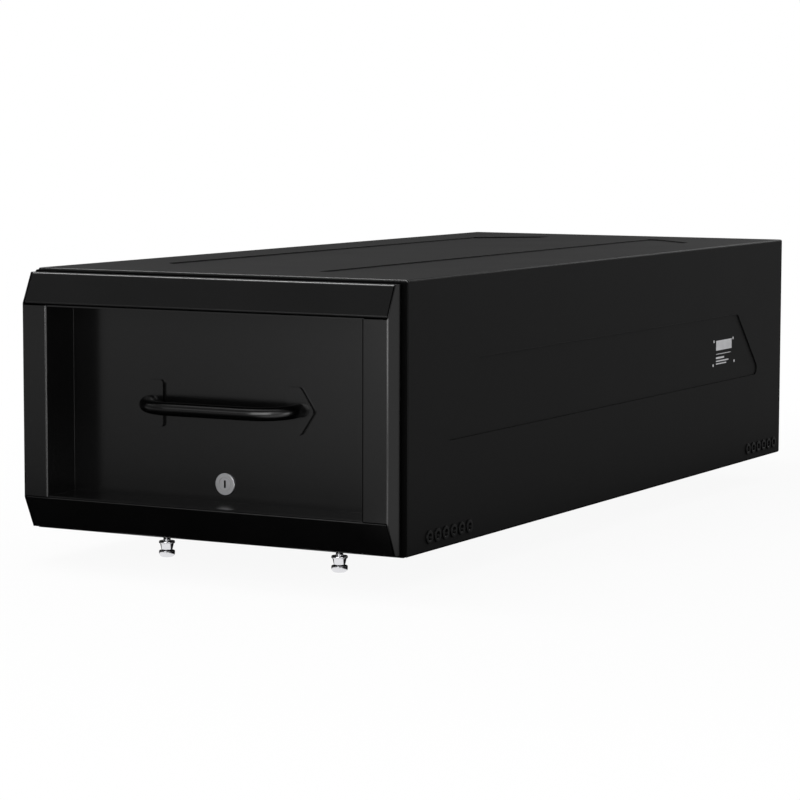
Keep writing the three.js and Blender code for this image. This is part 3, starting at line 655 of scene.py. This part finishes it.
def makeBumpers():
    b = bumper
    radius, bend, washer = b["radius"], b["round"], b["washer"]
    for side in ("left", "right"):
        node = f"bumper_{side}"
        low, high = spanOf(node)
        x, y, z = middleOf(node)
        nose, floor = low.y, low.y + b["washerDepth"]
        profile = [(0, high.y), (radius, high.y)] + [(r, high.y - back) for r, back in b["groove"]]
        profile += [(radius - bend * (1 - math.cos(t)), nose + bend * (1 - math.sin(t)))
                    for t in quarterTurn]
        profile += [(washer, nose), (washer, floor), (0, floor)]
        form = lathe(profile, "y", (x, 0, z), b["steps"])
        fit(asObject(form, f"bumper{side.title()}"), rubberAndShade, "case", [node])


makeRear()
makeBumpers()
print("case fittings made")

# Track studs and their nuts

stud = {
    "drop": 32.4, "stem": 4, "stemLead": 0.6, "threadDepth": 0.45, "threadPitch": 1.25,
    "threadGap": (1, 0.6), "flange": 8.5, "flangeTop": -15.3, "flangeBottom": -17.9,
    "flangeRound": 0.5, "neckTop": 7.3, "neckBottom": 5.8, "neckEnd": -25.4,
    "neckFlare": (0.5, 0.6), "head": 8.45, "headFoot": 5.3, "shoulder": 4.2, "crownRound": 0.8,
    "steps": 40, "nutAcross": 13, "nutHeight": 6.5, "nutBore": 4.3,
}
studCorners = ("front_left", "front_right", "rear_left", "rear_right")


def studProfile(top):
    s = stud
    headTop, foot, crown = s["neckEnd"], -s["drop"], s["crownRound"]
    stem, flange, edge = s["stem"], s["flange"], s["flangeRound"]
    (flareOut, flareUp), (gapLow, gapHigh) = s["neckFlare"], s["threadGap"]
    profile = [(0, foot)]
    profile += [(s["headFoot"] + (s["head"] - s["headFoot"]) * math.sin(t),
                 foot + s["shoulder"] * (1 - math.cos(t))) for t in quarterTurn]
    profile += [(s["head"] - crown * (1 - math.cos(t)), headTop - crown + crown * math.sin(t))
                for t in turns(range(0, 91, 30))]
    profile += [
        (s["neckBottom"] + flareOut, headTop), (s["neckBottom"], headTop + flareUp),
        (s["neckTop"], s["flangeBottom"]), (flange - edge, s["flangeBottom"]),
        (flange, s["flangeBottom"] + edge), (flange, s["flangeTop"] - edge),
        (flange - edge, s["flangeTop"]), (stem, s["flangeTop"])]
    profile += threadRings(stem, s["threadDepth"], s["threadPitch"],
                           s["flangeTop"] + gapLow, top - gapHigh)
    return profile + [(stem - s["stemLead"], top), (0, top)]


def makeStuds():
    s = stud
    for corner in studCorners:
        node = f"track_stud_{corner}"
        centre = (*middleOf(node)[:2], 0)
        name = corner.title().replace("_", "")
        form = lathe(studProfile(spanOf(node)[1].z), "z", centre, s["steps"])
        fit(asObject(form, f"trackStud{name}"), chrome, "case", [node],
            smooth=50)
        for level in ("top", "low"):
            node = f"stud_{level}_nut_{corner}"
            start = spanOf(node)[0].z
            form = hexNut(s["nutAcross"], s["nutHeight"], s["nutBore"], "z", start, centre)
            fit(asObject(form, f"studNut{level.title()}{name}"), zinc, "case", [node],
                smooth=25)


makeStuds()
print("studs made")

# Drawer front: two sloping rails between two stiles

front = {
    "half": 216.3, "top": 270.3, "bottom": 3.2, "back": -6, "bend": -17.9, "face": -33.7,
    "seamTop": 237.6, "seamBottom": 37, "seam": 0.8, "opening": 186.8, "sheet": 2,
    "plate": 1.2, "endGap": 1.2, "lip": 14, "backLip": 20, "channelInset": 1.8,
    "topFolds": (0, -1, 1.6, 0.2, 0), "bottomFolds": (0, -1.1, -1, -1, 0),
    "edge": 0.3, "outerRound": 0.9, "innerRound": 1.9,
    # These pick the folds that take a painted highlight and a painted shade line.
    "highlightBendNormal": (0.5, 0.98), "highlightCornerNormal": 0.15, "shadeFoldReach": 3,  # what is recoated
}


def makeRail(name, node, corners, folds):
    half = front["half"] - front["plate"] - front["endGap"]
    rail = asObject(prism(foldedOutline(corners, front["sheet"], folds), "x", -half, half), name)
    softenEdges(rail, front["edge"], segments=2)
    fit(rail, frontCoat, "drawer", [node])
    # The bend over the sloping face takes the glossier finish as a painted highlight.
    low, high = front["highlightBendNormal"]
    paintLightAndShade(rail, foldHighlightCoat, lambda co, normal: low < normal.z < high and normal.y < -leans)


def makeRails():
    f = front
    lip = f["face"] + f["lip"]
    makeRail("frontTopRail", "front_top_rail", [
        (f["back"], f["top"] - f["backLip"]), (f["back"], f["top"]), (f["bend"], f["top"]),
        (f["face"], f["seamTop"]), (lip, f["seamTop"])], f["topFolds"])
    makeRail("frontBottomRail", "front_bottom_rail", [
        (lip, f["seamBottom"]), (f["face"], f["seamBottom"]), (f["bend"], f["bottom"]),
        (f["back"], f["bottom"]), (f["back"], f["bottom"] + f["backLip"])], f["bottomFolds"])


def makeStiles():
    f = front
    half, opening, back, face = f["half"], f["opening"], f["back"], f["face"]
    plate = [(back, f["bottom"]), (back, f["top"]), (f["bend"], f["top"]),
             (face, f["seamTop"]), (face, f["seamBottom"]), (f["bend"], f["bottom"])]
    right = asObject(prism(plate, "x", half - f["plate"], half), "frontRightStile")
    channel = [(opening + f["channelInset"], back), (half, back), (half, face), (opening, face)]
    low, high = f["seamBottom"] + f["seam"], f["seamTop"] - f["seam"]
    weld(right, prism(foldedOutline(channel, -f["sheet"], 0), "z", low, high))
    reshape(right, mergeFlats)
    near = 10 * tiny
    for x, radius in ((half, f["outerRound"]), (opening, f["innerRound"])):
        roundEdges(right, radius, lambda co: abs(co.x - x) < near and abs(co.y - face) < near)
    softenEdges(right, f["edge"], segments=2, angle=45)
    left = mirrored(right, "frontLeftStile")
    fit(right, frontCoat, "drawer", ["front_right_stile"])
    fit(left, frontCoat, "drawer", ["front_left_stile"])
    # The right stile's inner fold takes black as a painted shade line, and the folds that face
    # right take the glossier finish as a painted highlight.
    paintLightAndShade(right, rubberAndShade, lambda co, normal: normal.x < -leans
           and normal.y < -leans and co.x < opening + f["shadeFoldReach"])
    for stile in (right, left):
        paintLightAndShade(stile, foldHighlightCoat, lambda co, normal: normal.x > f["highlightCornerNormal"]
               and normal.y < -f["highlightCornerNormal"])


makeRails()
makeStiles()

# Recess pan with the two raised seats

pan = {
    "front": -31.4, "back": 18, "panel": 16, "low": 37.3, "high": 237.3, "sheet": 1.5,
    "seat": [(73.4, 112.5), (90.5, 112.5), (107, 137), (90.5, 161.5), (73.4, 161.5)],
    "corner": 0.3, "seatCorners": (3.5, 5, 6.5, 5, 3.5), "seatSteps": 4,
    "seatFace": 12.6, "seatSlope": 0.3, "seatRound": 0.25, "screwHole": 6.6,
    "lockHole": 19.4, "lockSteps": 40, "lockHeight": 57.5, "handleSpan": 178, "handleHeight": 138.3,
}


def seatForm(sign):
    p = pan
    corners = [(sign * x, z) for x, z in p["seat"]]
    outline = roundedOutline(corners, p["seatCorners"], p["seatSteps"])
    before, after = outline[-1:] + outline[:-1], outline[1:] + outline[:1]
    inset = [offsetCorner(*trio, sign * p["seatSlope"]) for trio in zip(before, outline, after)]
    levels = ((outline, p["panel"] + p["sheet"] / 2), (outline, p["panel"]), (inset, p["seatFace"]))
    return lofted([[(point.x, y, point.y) for point in points] for points, y in levels])


def makePan():
    p = pan
    half, sheet = front["opening"], p["sheet"]
    outer = box2(-half - sheet, half + sheet, p["low"], p["high"])
    tray = asObject(prism(outer, "y", p["front"], p["back"]), "recessPan")
    inner = box2(-half, half, p["low"] + sheet, p["high"] - sheet)
    hollow = asObject(prism(inner, "y", p["front"] - over, p["panel"]), "hollow")
    softenEdges(hollow, p["corner"])
    form = bmesh.new()
    form.from_mesh(hollow.data)
    bpy.data.objects.remove(hollow)
    cut(tray, form)
    span = (p["seatFace"] - over, p["back"] + over)
    for sign in (-1, 1):
        weld(tray, seatForm(sign))
        place = (sign * p["handleSpan"] / 2, 0, p["handleHeight"])
        cut(tray, rod(p["screwHole"] / 2, "y", *span, place))
    cut(tray, rod(p["lockHole"] / 2, "y", *span, (0, 0, p["lockHeight"]), p["lockSteps"]))
    softenEdges(tray, p["seatRound"], segments=2, angle=30)
    fit(tray, frontCoat, "drawer", ["recess_pan"], smooth=30)


makePan()

# Handle: one round bar bent to a U

handle = {
    "bar": 7, "standoff": 30.8, "droop": 3.0, "bend": 28.5, "bendAlong": 42, "foot": 0.05,
    "root": 6, "sides": 36, "bendSteps": 20, "runSteps": 10, "cutDepth": 40,
}
panHead = {
    "lead": 0.4, "under": 0.2, "skirt": 0.35, "domeTurns": range(0, 76, 15), "rise": 0.02,
    "crossDepth": 0.65, "crossWidth": 0.25, "steps": 36,
}
handleScrew = {"shank": 3, "head": 6, "height": 3.6, "reach": 17.8, "cross": 4.4}


def makeHandle():
    h = handle
    lean = math.atan2(h["droop"], h["standoff"])
    straight = h["standoff"] / math.cos(lean) - h["bend"]
    ahead = Vector((0, -math.cos(lean), -math.sin(lean)))
    across = Vector((1, 0, 0))
    upright = across.cross(ahead)
    base = Vector((0, pan["seatFace"], pan["handleHeight"]))
    half = pan["handleSpan"] / 2
    legs = []
    for sign in (-1, 1):
        foot = base + across * sign * half
        centre = foot + ahead * straight - across * sign * h["bendAlong"]
        leg = [foot - ahead * h["root"], foot + ahead * straight]
        for i in range(1, h["bendSteps"] + 1):
            angle = math.pi / 2 * i / h["bendSteps"]
            out, forward = h["bendAlong"] * math.cos(angle), h["bend"] * math.sin(angle)
            leg.append(centre + across * sign * out + ahead * forward)
        legs.append(leg)
    left, right = legs[0], legs[1][::-1]
    run = [left[-1].lerp(right[0], i / h["runSteps"]) for i in range(1, h["runSteps"])]
    spine = left + run + right
    rings = []
    for i, point in enumerate(spine):
        along = (spine[min(i + 1, len(spine) - 1)] - spine[max(i - 1, 0)]).normalized()
        side = upright.cross(along)
        angles = [2 * math.pi * k / h["sides"] for k in range(h["sides"])]
        arms = [side * math.cos(t) + upright * math.sin(t) for t in angles]
        rings.append([point + arm * h["bar"] for arm in arms])
    bar = asObject(lofted(rings), "handle")
    wall = pan["seatFace"] - h["foot"]
    behind = box2(-half * 2, half * 2, 0, case["height"])
    cut(bar, prism(behind, "y", wall, wall + h["cutDepth"]))
    fit(bar, handleGloss, "drawer", ["handle"], smooth=60)


def panScrew(name, node, size):
    p = panHead
    shank, head, height, cross = (size[key] for key in ("shank", "head", "height", "cross"))
    rear = spanOf(node)[1].y
    x, y, z = middleOf(node)
    seat = rear - height
    tip = seat - size["reach"]
    crown = dome(head, seat, height, p["skirt"], p["domeTurns"])
    profile = [(0, tip), (shank - p["lead"], tip), (shank, tip + p["lead"]), (shank, seat),
               (head - p["under"], seat), *crown, (0, crown[-1][1] + p["rise"])]
    screw = asObject(lathe(profile, "y", (x, 0, z), p["steps"]), name)
    narrow = cross * p["crossWidth"]
    for wide, tall in ((cross, narrow), (narrow, cross)):
        slot = box2(x - wide / 2, x + wide / 2, z - tall / 2, z + tall / 2)
        cut(screw, prism(slot, "y", rear - height * p["crossDepth"], rear + over))
    return screw


makeHandle()
for side in ("left", "right"):
    node = f"handle_screw_{side}"
    fit(panScrew(f"handleScrew{side.title()}", node, handleScrew), zinc, "drawer", [node])
print("drawer front made")

# Cam lock

lock = {
    "face": 11.45, "faceFront": 14.1, "faceBack": 15.7, "edge": 0.5, "faceSteps": 64,
    "barrel": 9.4, "rear": 38, "barrelLead": 0.5, "threadPitch": 1, "threadDepth": 0.35,
    "threadGap": (1, 0.5), "perTurn": 5, "bore": 6.95, "boreEdge": 0.12,
    "plug": 6.8, "plugSet": 0.05, "plugEdge": 0.12,
    "slotWidth": 2.2, "slotHeight": 7.8, "slotDepth": 9, "slotCorner": 0.4, "slotSteps": 3,
    # The key slot's inside is painted dark as painted shade; these give where it starts and stops,
    # and its reach past the slot.
    "slotShadeSpan": (0.15, 1), "slotShadeMargin": 0.1,  # its dark inside: from the face, from the rear
    "tang": 4, "tangEnd": 40.8, "screwBore": 2.3, "screwDepth": 8,
    "nutAcross": 24, "nutHeight": 5, "nutStart": 18.3, "nutPlay": 0.3,
    "camStart": 38.3, "camEnd": 40.8, "camWidth": 16, "camReach": 52, "camHole": 4.3,
    "camCorner": 4, "camSteps": 6, "camEdge": 0.25,
}
camScrew = {"shank": 2, "head": 6, "height": 3, "reach": 7.7, "cross": 4.2}


def makeLockBody(axis):
    k = lock
    start, edge, bore = k["faceFront"], k["edge"], k["bore"]
    gapFront, gapRear = k["threadGap"]
    profile = [(bore, start + k["boreEdge"]), (bore + k["boreEdge"], start)]
    profile += [(k["face"] - edge * (1 - math.sin(t)), start + edge * (1 - math.cos(t)))
                for t in quarterTurn]
    profile += [(k["face"], k["faceBack"]), (k["barrel"], k["faceBack"])]
    profile += threadRings(k["barrel"], k["threadDepth"], k["threadPitch"],
                           k["faceBack"] + gapFront, k["rear"] - gapRear, k["perTurn"])
    profile += [(k["barrel"] - k["barrelLead"], k["rear"]), (bore, k["rear"])]
    body = asObject(lathe(profile, "y", axis, k["faceSteps"]), "lockBody")
    fit(body, nickel, "drawer", ["lock_body"], smooth=40)
    nutBore = k["barrel"] + k["nutPlay"]
    nut = hexNut(k["nutAcross"], k["nutHeight"], nutBore, "y", k["nutStart"], axis)
    fit(asObject(nut, "lockNut"), zinc, "drawer", ["lock_nut"], smooth=25)


def makeLockPlug(axis):
    k = lock
    height, tang, edge = axis[2], k["tang"], k["plugEdge"]
    start = k["faceFront"] + k["plugSet"]
    profile = [(0, start), (k["plug"] - edge, start), (k["plug"], start + edge),
               (k["plug"], k["rear"]), (0, k["rear"])]
    plug = asObject(lathe(profile, "y", axis), "lockPlug")
    square = box2(-tang, tang, height - tang, height + tang)
    weld(plug, prism(square, "y", k["rear"] - over, k["tangEnd"]))
    wide, tall = k["slotWidth"] / 2, k["slotHeight"] / 2
    slot = roundedOutline(box2(-wide, wide, height - tall, height + tall),
                          k["slotCorner"], k["slotSteps"])
    cut(plug, prism(slot, "y", start - over, start + k["slotDepth"]))
    cut(plug, rod(k["screwBore"], "y", k["tangEnd"] - k["screwDepth"], k["tangEnd"] + over, axis))
    softenEdges(plug, edge, segments=2, angle=50)
    fit(plug, nickel, "lock_core", ["lock_plug"])
    # The key slot's inside takes the dark steel as a painted shade.
    low, high = start + k["slotShadeSpan"][0], k["rear"] - k["slotShadeSpan"][1]
    paintLightAndShade(plug, blackOxideAndShade, lambda co, normal: low < co.y < high
           and (co - Vector((0, co.y, height))).length < tall + k["slotShadeMargin"])


def makeLockCam(height):
    k = lock
    half, hole = k["camWidth"] / 2, k["camHole"]
    base = [Vector((0, -half)), Vector((k["camReach"], -half)),
            Vector((k["camReach"], half)), Vector((0, half))]
    outline = [(half * math.cos(t), height + half * math.sin(t)) for t in turns(range(90, 271, 10))]
    for i in (0, 1):
        corner = arcAt(*base[i:i + 3], k["camCorner"], k["camSteps"])
        outline += [(p.x, p.y + height) for p in corner]
    cam = asObject(prism(outline, "y", k["camStart"], k["camEnd"]), "lockCam")
    square = box2(-hole, hole, height - hole, height + hole)
    cut(cam, prism(square, "y", k["camStart"] - over, k["camEnd"] + over))
    softenEdges(cam, k["camEdge"], segments=2)
    fit(cam, zinc, "lock_core", ["lock_cam"])


def makeLock():
    axis = (0, 0, pan["lockHeight"])
    makeLockBody(axis)
    makeLockPlug(axis)
    makeLockCam(pan["lockHeight"])
    fit(panScrew("camScrew", "cam_screw", camScrew), zinc, "lock_core", ["cam_screw"])


makeLock()
print("lock made")

# Drawer tub, back wall and liner

tub = {
    "half": 192.1, "sheet": 1.5, "low": 14, "high": 236, "hem": 8, "lap": 14, "lapInset": 2,
    "fold": 1.2, "edge": 0.25, "notch": 15.9, "slot": (-11, 33.9, 35.3, 43.8),
    "slotCorner": 2, "slotSteps": 4, "gap": 0.3,
    "linerMargin": 4, "linerFront": 57.8, "linerThick": 3, "ribPitch": 6,
    "rib": ((2.4, 1), (1.2, 1), (0.7, 0), (-0.7, 0), (-1.2, 1), (-2.4, 1)),  # across, and down
}


def makeTub():
    t = tub
    low, high = spanOf("drawer_tub")
    half, sheet, within, gap = t["half"], t["sheet"], t["sheet"] / 2, t["gap"]
    inner, floorTop = half - sheet, t["low"] + sheet
    section = foldedOutline([
        (inner - t["hem"], t["high"]), (half, t["high"]), (half, t["low"]),
        (-half, t["low"]), (-half, t["high"]), (-inner + t["hem"], t["high"])], -sheet, t["fold"])
    trough = asObject(prism(section, "y", low.y, high.y), "drawerTub")
    lapTop, lapSide = pan["low"] + t["lap"], front["opening"] - t["lap"]
    inset, wallLow, wallHigh = t["lapInset"], t["low"] + t["lapInset"], t["high"] - within
    for lap in (box2(inset - half, half - inset, t["low"] + within, lapTop),
                box2(lapSide, half - within, wallLow, wallHigh),
                box2(within - half, -lapSide, wallLow, wallHigh)):
        weld(trough, prism(lap, "y", low.y, low.y + sheet))
    notch = box2(-t["notch"], t["notch"], floorTop, lapTop + over)
    cut(trough, prism(notch, "y", low.y - over, low.y + sheet))
    slot = roundedOutline(box2(*t["slot"]), t["slotCorner"], t["slotSteps"])
    cut(trough, prism(slot, "z", t["low"] - over, floorTop + over))
    softenEdges(trough, t["edge"], segments=2, angle=50)
    fit(trough, tubCoatAndLight, "drawer", ["drawer_tub"])
    wall = box2(gap - inner, inner - gap, floorTop + gap, t["high"] - sheet - gap)
    back = asObject(prism(wall, "y", high.y - sheet, high.y), "drawerBack")
    softenEdges(back, t["edge"], segments=2)
    fit(back, tubCoatAndLight, "drawer", ["drawer_back"])
    matHalf, bottom = inner - t["linerMargin"], floorTop + gap
    top = bottom + t["linerThick"]
    ribs = int(2 * matHalf / t["ribPitch"])
    outline = [(-matHalf, bottom), (matHalf, bottom)]
    for i in range(ribs):
        x = matHalf - (i + 0.5) * 2 * matHalf / ribs
        outline += [(x + shift, top - down) for shift, down in t["rib"]]
    matEnd = high.y - sheet - t["linerMargin"]
    mat = asObject(prism(outline, "y", t["linerFront"], matEnd), "drawerLiner")
    fit(mat, rubberAndShade, "drawer", ["drawer_liner"])


makeTub()

# Slides: each member's body, and whether its lips point inwards

slide = {
    "sheet": 2, "fold": 1, "foldSteps": 4, "edge": 0.2,
    "members": [("slideOuter", "slide_outer", "case", True),
                ("slideMiddle", "slide_middle", "middle", True),
                ("slideInner", "slide_inner", "drawer", False)],
}


def makeSlides():
    s = slide
    for name, node, body, inwards in s["members"]:
        low, high = spanOf(f"{node}_right")
        web, lip, sheet = (high.x, low.x, -s["sheet"]) if inwards else (low.x, high.x, s["sheet"])
        corners = [(lip, high.z), (web, high.z), (web, low.z), (lip, low.z)]
        section = foldedOutline(corners, sheet, s["fold"], s["foldSteps"])
        right = asObject(prism(section, "y", low.y, high.y), f"{name}Right")
        softenEdges(right, s["edge"], segments=2, angle=50)
        for piece, side in ((right, "right"), (mirrored(right, f"{name}Left"), "left")):
            rides = f"middle_{side}" if body == "middle" else body
            fit(piece, slideSteel, rides, [f"{node}_{side}"])


makeSlides()

# Nodes whose shape is right keep it and take a finish

finishes = {"case_floor": caseCoat, "lock_strike": zinc}
for side in ("left", "right"):
    for node in ("slide_spacer", "outer_retainer", "inner_retainer"):
        finishes[f"{node}_{side}"] = zinc
for node, material in finishes.items():
    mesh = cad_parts[node].data
    mesh.materials.clear()
    mesh.materials.append(material)
print("drawer inside made")

# Camera, lights, floor

camera = {
    "lens": 130.095, "sensor": 36, "far": 50, "place": (1551.4, -2481.3, 441.7),
    "yaw": -28.376, "pitch": -5.785, "roll": 0.132,
}


def makeCamera():
    data = bpy.data.cameras.new("camera")
    data.lens = camera["lens"]
    data.sensor_width = camera["sensor"]
    data.clip_end = camera["far"]
    eye = added("camera", data)
    yaw, pitch, roll = turns(camera[key] for key in ("yaw", "pitch", "roll"))
    ahead = Vector((math.sin(yaw) * math.cos(pitch), math.cos(yaw) * math.cos(pitch),
                    math.sin(pitch)))
    level = Vector((math.cos(yaw), -math.sin(yaw), 0))
    upright = level.cross(ahead)
    right = level * math.cos(roll) + upright * math.sin(roll)
    up = upright * math.cos(roll) - level * math.sin(roll)
    turn = Matrix((right, up, -ahead)).transposed().to_4x4()
    eye.matrix_world = Matrix.Translation(shopOrigin + Vector(camera["place"]) * mm) @ turn
    bpy.context.scene.camera = eye


studio = {
    "paper": 0.8, "paperRoughness": 0.9, "floorHalf": 12, "floorDrop": 0.0005,
    "worldLevel": 0.35, "white": 1,
    # What gloss and metal see of the sky: at the horizon and from a height upwards, in front and
    # behind, and soft patches.
    "skyInFront": (0.1, 0.24), "skyBehind": (0.3, 0.2), "skyHeights": (0.0, 0.5),
    "skyTurn": (-0.5, 0.2),
    "skyPatches": [{"place": (-0.473, -0.83, 0.32), "reach": (0.1, 0.2), "level": 1.1},
                   {"place": (-0.473, -0.2, 0.86), "reach": (0.06, 0.16), "level": 0.8},
                   {"place": (0.4, -0.88, 0.25), "reach": (0.3, 0.55), "level": 1.3}],
    # What they see of the floor, painted rather than its lit paper: levels by the share of
    # mirrorReach, dark near the safe as painted shade, less towards the left, one level to the
    # right, and soft glowing patches of painted light.
    "floorInMirrors": [(0, 0.005), (0.03, 0.005), (0.09, 0.1), (0.16, 0.34), (0.3, 0.42),
                       (0.7, 0.64)],
    "mirrorReach": 4,
    "across": (0.876, -0.473, 0), "acrossSpan": (0.05, 0.44), "acrossShare": (0.78, 1.3),
    "rightLevel": 0.32, "rightSpan": (0.24, 0.4),
    "floorGlowPatches": [{"place": (0.34, -0.92, 0), "reach": (0.22, 0.42), "level": 1.2},
                     {"place": (0.95, -0.95, 0), "reach": (0.3, 0.45), "level": 2.5}],
    "studGlowPatch": {"lead": 0.035, "reach": (0.042, 0.052), "level": 1},
    "floorGlow": (0.93, 1), "glowReach": (0.1, 1),  # the floor's white near the safe and far off
    # Each lamp's place, aim, width (level, square to its aim) and height, and power.
    "lamps": {
        "topLamp": ((-0.3, -0.6, 2.4), (-0.3, -0.2, 0.3), (2.2, 1.6), 11),
        "edgeLamp": ((-0.9, -0.3, 1.8), (-0.9, -0.5, 0.3), (1.8, 0.3), 16),
        "frontLamp": ((0.05, -2.3, 0.68), (0, -0.5, 0.2), (1.3, 1.1), 17),
        "sideLamp": ((1.4, -1.16, 0.2), (0.2, -0.5, 0.15), (0.6, 0.6), 3),
        "leftLamp": ((-2.3, 0.1, 1.1), (-0.2, 0, 0.15), (1.8, 1.0), 12),
        "rearLamp": ((0.5, 2.4, 1.2), (0, 0.5, 0.15), (1.8, 1.0), 12),
    },
}


def ramp(tree, value, span, levels, rise="SMOOTHSTEP"):
    spread = newNode(tree, "ShaderNodeMapRange", dict(enumerate((value, *span, *levels))))
    spread.interpolation_type = rise
    return spread.outputs["Result"]


def mixed(tree, factor, first, second):
    inputs = {0: factor, 1: first.outputs[0], 2: second.outputs[0]}
    return newNode(tree, "ShaderNodeMixShader", inputs)


def blended(tree, factor, first, second):
    return newNode(tree, "ShaderNodeMix", {0: factor, 2: first, 3: second}).outputs[0]


def worked(tree, operation, *values):
    # One Math node after another over all the values.
    result = values[0]
    for value in values[1:]:
        step = newNode(tree, "ShaderNodeMath", {0: result, 1: value})
        step.operation = operation
        result = step.outputs["Value"]
    return result


def vectorStep(tree, operation, spot, other=(0, 0, 0)):
    step = newNode(tree, "ShaderNodeVectorMath", {0: spot, 1: other})
    step.operation = operation
    return step.outputs["Value" if operation in ("LENGTH", "DOT_PRODUCT") else "Vector"]


def softPatch(tree, patch, spot, centre):
    away = vectorStep(tree, "LENGTH", vectorStep(tree, "SUBTRACT", spot, centre))
    return ramp(tree, away, patch["reach"], (patch["level"], 0))


def softPatches(tree, patches, spot):
    return [softPatch(tree, patch, spot, patch["place"]) for patch in patches]


def seenBy(tree):
    # 1 for rays from the camera, and 1 for rays from gloss, metal and glass.
    path = tree.nodes.new("ShaderNodeLightPath").outputs
    mirror = worked(tree, "MAXIMUM", path["Is Glossy Ray"], path["Is Transmission Ray"])
    return path["Is Camera Ray"], mirror


def makeWorld():
    s = studio
    world = bpy.data.worlds.new("studio")
    bpy.context.scene.world = world
    world.use_nodes = True
    tree = world.node_tree
    light = tree.nodes["Background"]
    white, pale = (tree.nodes.new("ShaderNodeBackground") for i in range(2))
    for shader, level in ((light, s["worldLevel"]), (white, s["white"]), (pale, s["white"])):
        shader.inputs["Color"].default_value = plain(level)
    heading = tree.nodes.new("ShaderNodeTexCoord").outputs["Generated"]
    parts = newNode(tree, "ShaderNodeSeparateXYZ", {0: heading}).outputs
    sides = [ramp(tree, parts["Z"], s["skyHeights"], s[side])
             for side in ("skyInFront", "skyBehind")]
    sky = blended(tree, ramp(tree, parts["Y"], s["skyTurn"], (0, 1)), *sides)
    brightest = worked(tree, "MAXIMUM", sky, *softPatches(tree, s["skyPatches"], heading))
    setInputs(tree, pale, {"Strength": brightest})
    direct, mirror = seenBy(tree)
    result = mixed(tree, direct, mixed(tree, mirror, light, pale), white)
    setInputs(tree, tree.nodes["World Output"], {"Surface": result.outputs[0]})


def floorLevel(tree, spot, away):
    # How bright gloss and metal see each spot of the floor: painted shade near the safe and glowing
    # patches of painted light.
    s = studio
    share = ramp(tree, away, (0, s["mirrorReach"]), (0, 1), "LINEAR")
    levels = newNode(tree, "ShaderNodeValToRGB", {"Fac": share})
    stops = levels.color_ramp.elements
    stops.remove(stops[0])
    for i, (position, level) in enumerate(s["floorInMirrors"]):
        stop = stops[0] if i == 0 else stops.new(position)
        stop.position, stop.color = position, plain(level)
    across = vectorStep(tree, "DOT_PRODUCT", spot, s["across"])
    leftwards = ramp(tree, across, s["acrossSpan"], s["acrossShare"], "LINEAR")
    ahead = worked(tree, "MULTIPLY", levels.outputs["Color"], leftwards)
    parts = newNode(tree, "ShaderNodeSeparateXYZ", {0: spot}).outputs
    toRight = ramp(tree, parts["X"], s["rightSpan"], (0, 1))
    even = blended(tree, toRight, ahead, s["rightLevel"])
    low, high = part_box("track_stud_front_right")
    middle = (low + high) / 2
    lead = Vector((middle.x, abs(middle.y) + s["studGlowPatch"]["lead"], 0))
    atStuds = softPatch(tree, s["studGlowPatch"], vectorStep(tree, "ABSOLUTE", spot), lead)
    return worked(tree, "MAXIMUM", even, atStuds, *softPatches(tree, s["floorGlowPatches"], spot))


def makeFloor():
    s = studio
    form = bmesh.new()
    bmesh.ops.create_grid(form, x_segments=1, y_segments=1, size=s["floorHalf"])
    floor = asObject(form, "floor")
    floor.location.z = cadBox[0].z - s["floorDrop"]
    material, tree, paper = newMaterial("floor paper")
    setInputs(tree, paper, {
        "Base Color": plain(s["paper"]), "Roughness": s["paperRoughness"], "Specular IOR Level": 0})
    spot = tree.nodes.new("ShaderNodeTexCoord").outputs["Object"]
    away = vectorStep(tree, "ABSOLUTE", spot)
    away = vectorStep(tree, "SUBTRACT", away, cadBox[1].to_2d().to_3d())
    away = vectorStep(tree, "LENGTH", vectorStep(tree, "MAXIMUM", away))  # from the safe's outline
    white = newNode(tree, "ShaderNodeEmission", {"Color": plain(s["white"])})
    pale = newNode(tree, "ShaderNodeEmission", {"Strength": floorLevel(tree, spot, away)})
    direct, mirror = seenBy(tree)
    glow = ramp(tree, away, s["glowReach"], s["floorGlow"])
    share = worked(tree, "MULTIPLY", direct, glow)
    result = mixed(tree, share, mixed(tree, mirror, paper, pale), white)
    setInputs(tree, tree.nodes["Material Output"], {"Surface": result.outputs[0]})
    floor.data.materials.append(material)


def makeLamps():
    for name, (place, aim, size, power) in studio["lamps"].items():
        data = bpy.data.lights.new(name, "AREA")
        data.shape = "RECTANGLE"
        data.size, data.size_y = size
        data.energy = power
        light = added(name, data)
        light.location = place
        light.rotation_euler = (Vector(aim) - Vector(place)).to_track_quat("-Z", "Y").to_euler()


makeCamera()
makeWorld()
makeFloor()
makeLamps()
bpy.context.scene.view_settings.view_transform = "Standard"
print("studio made")
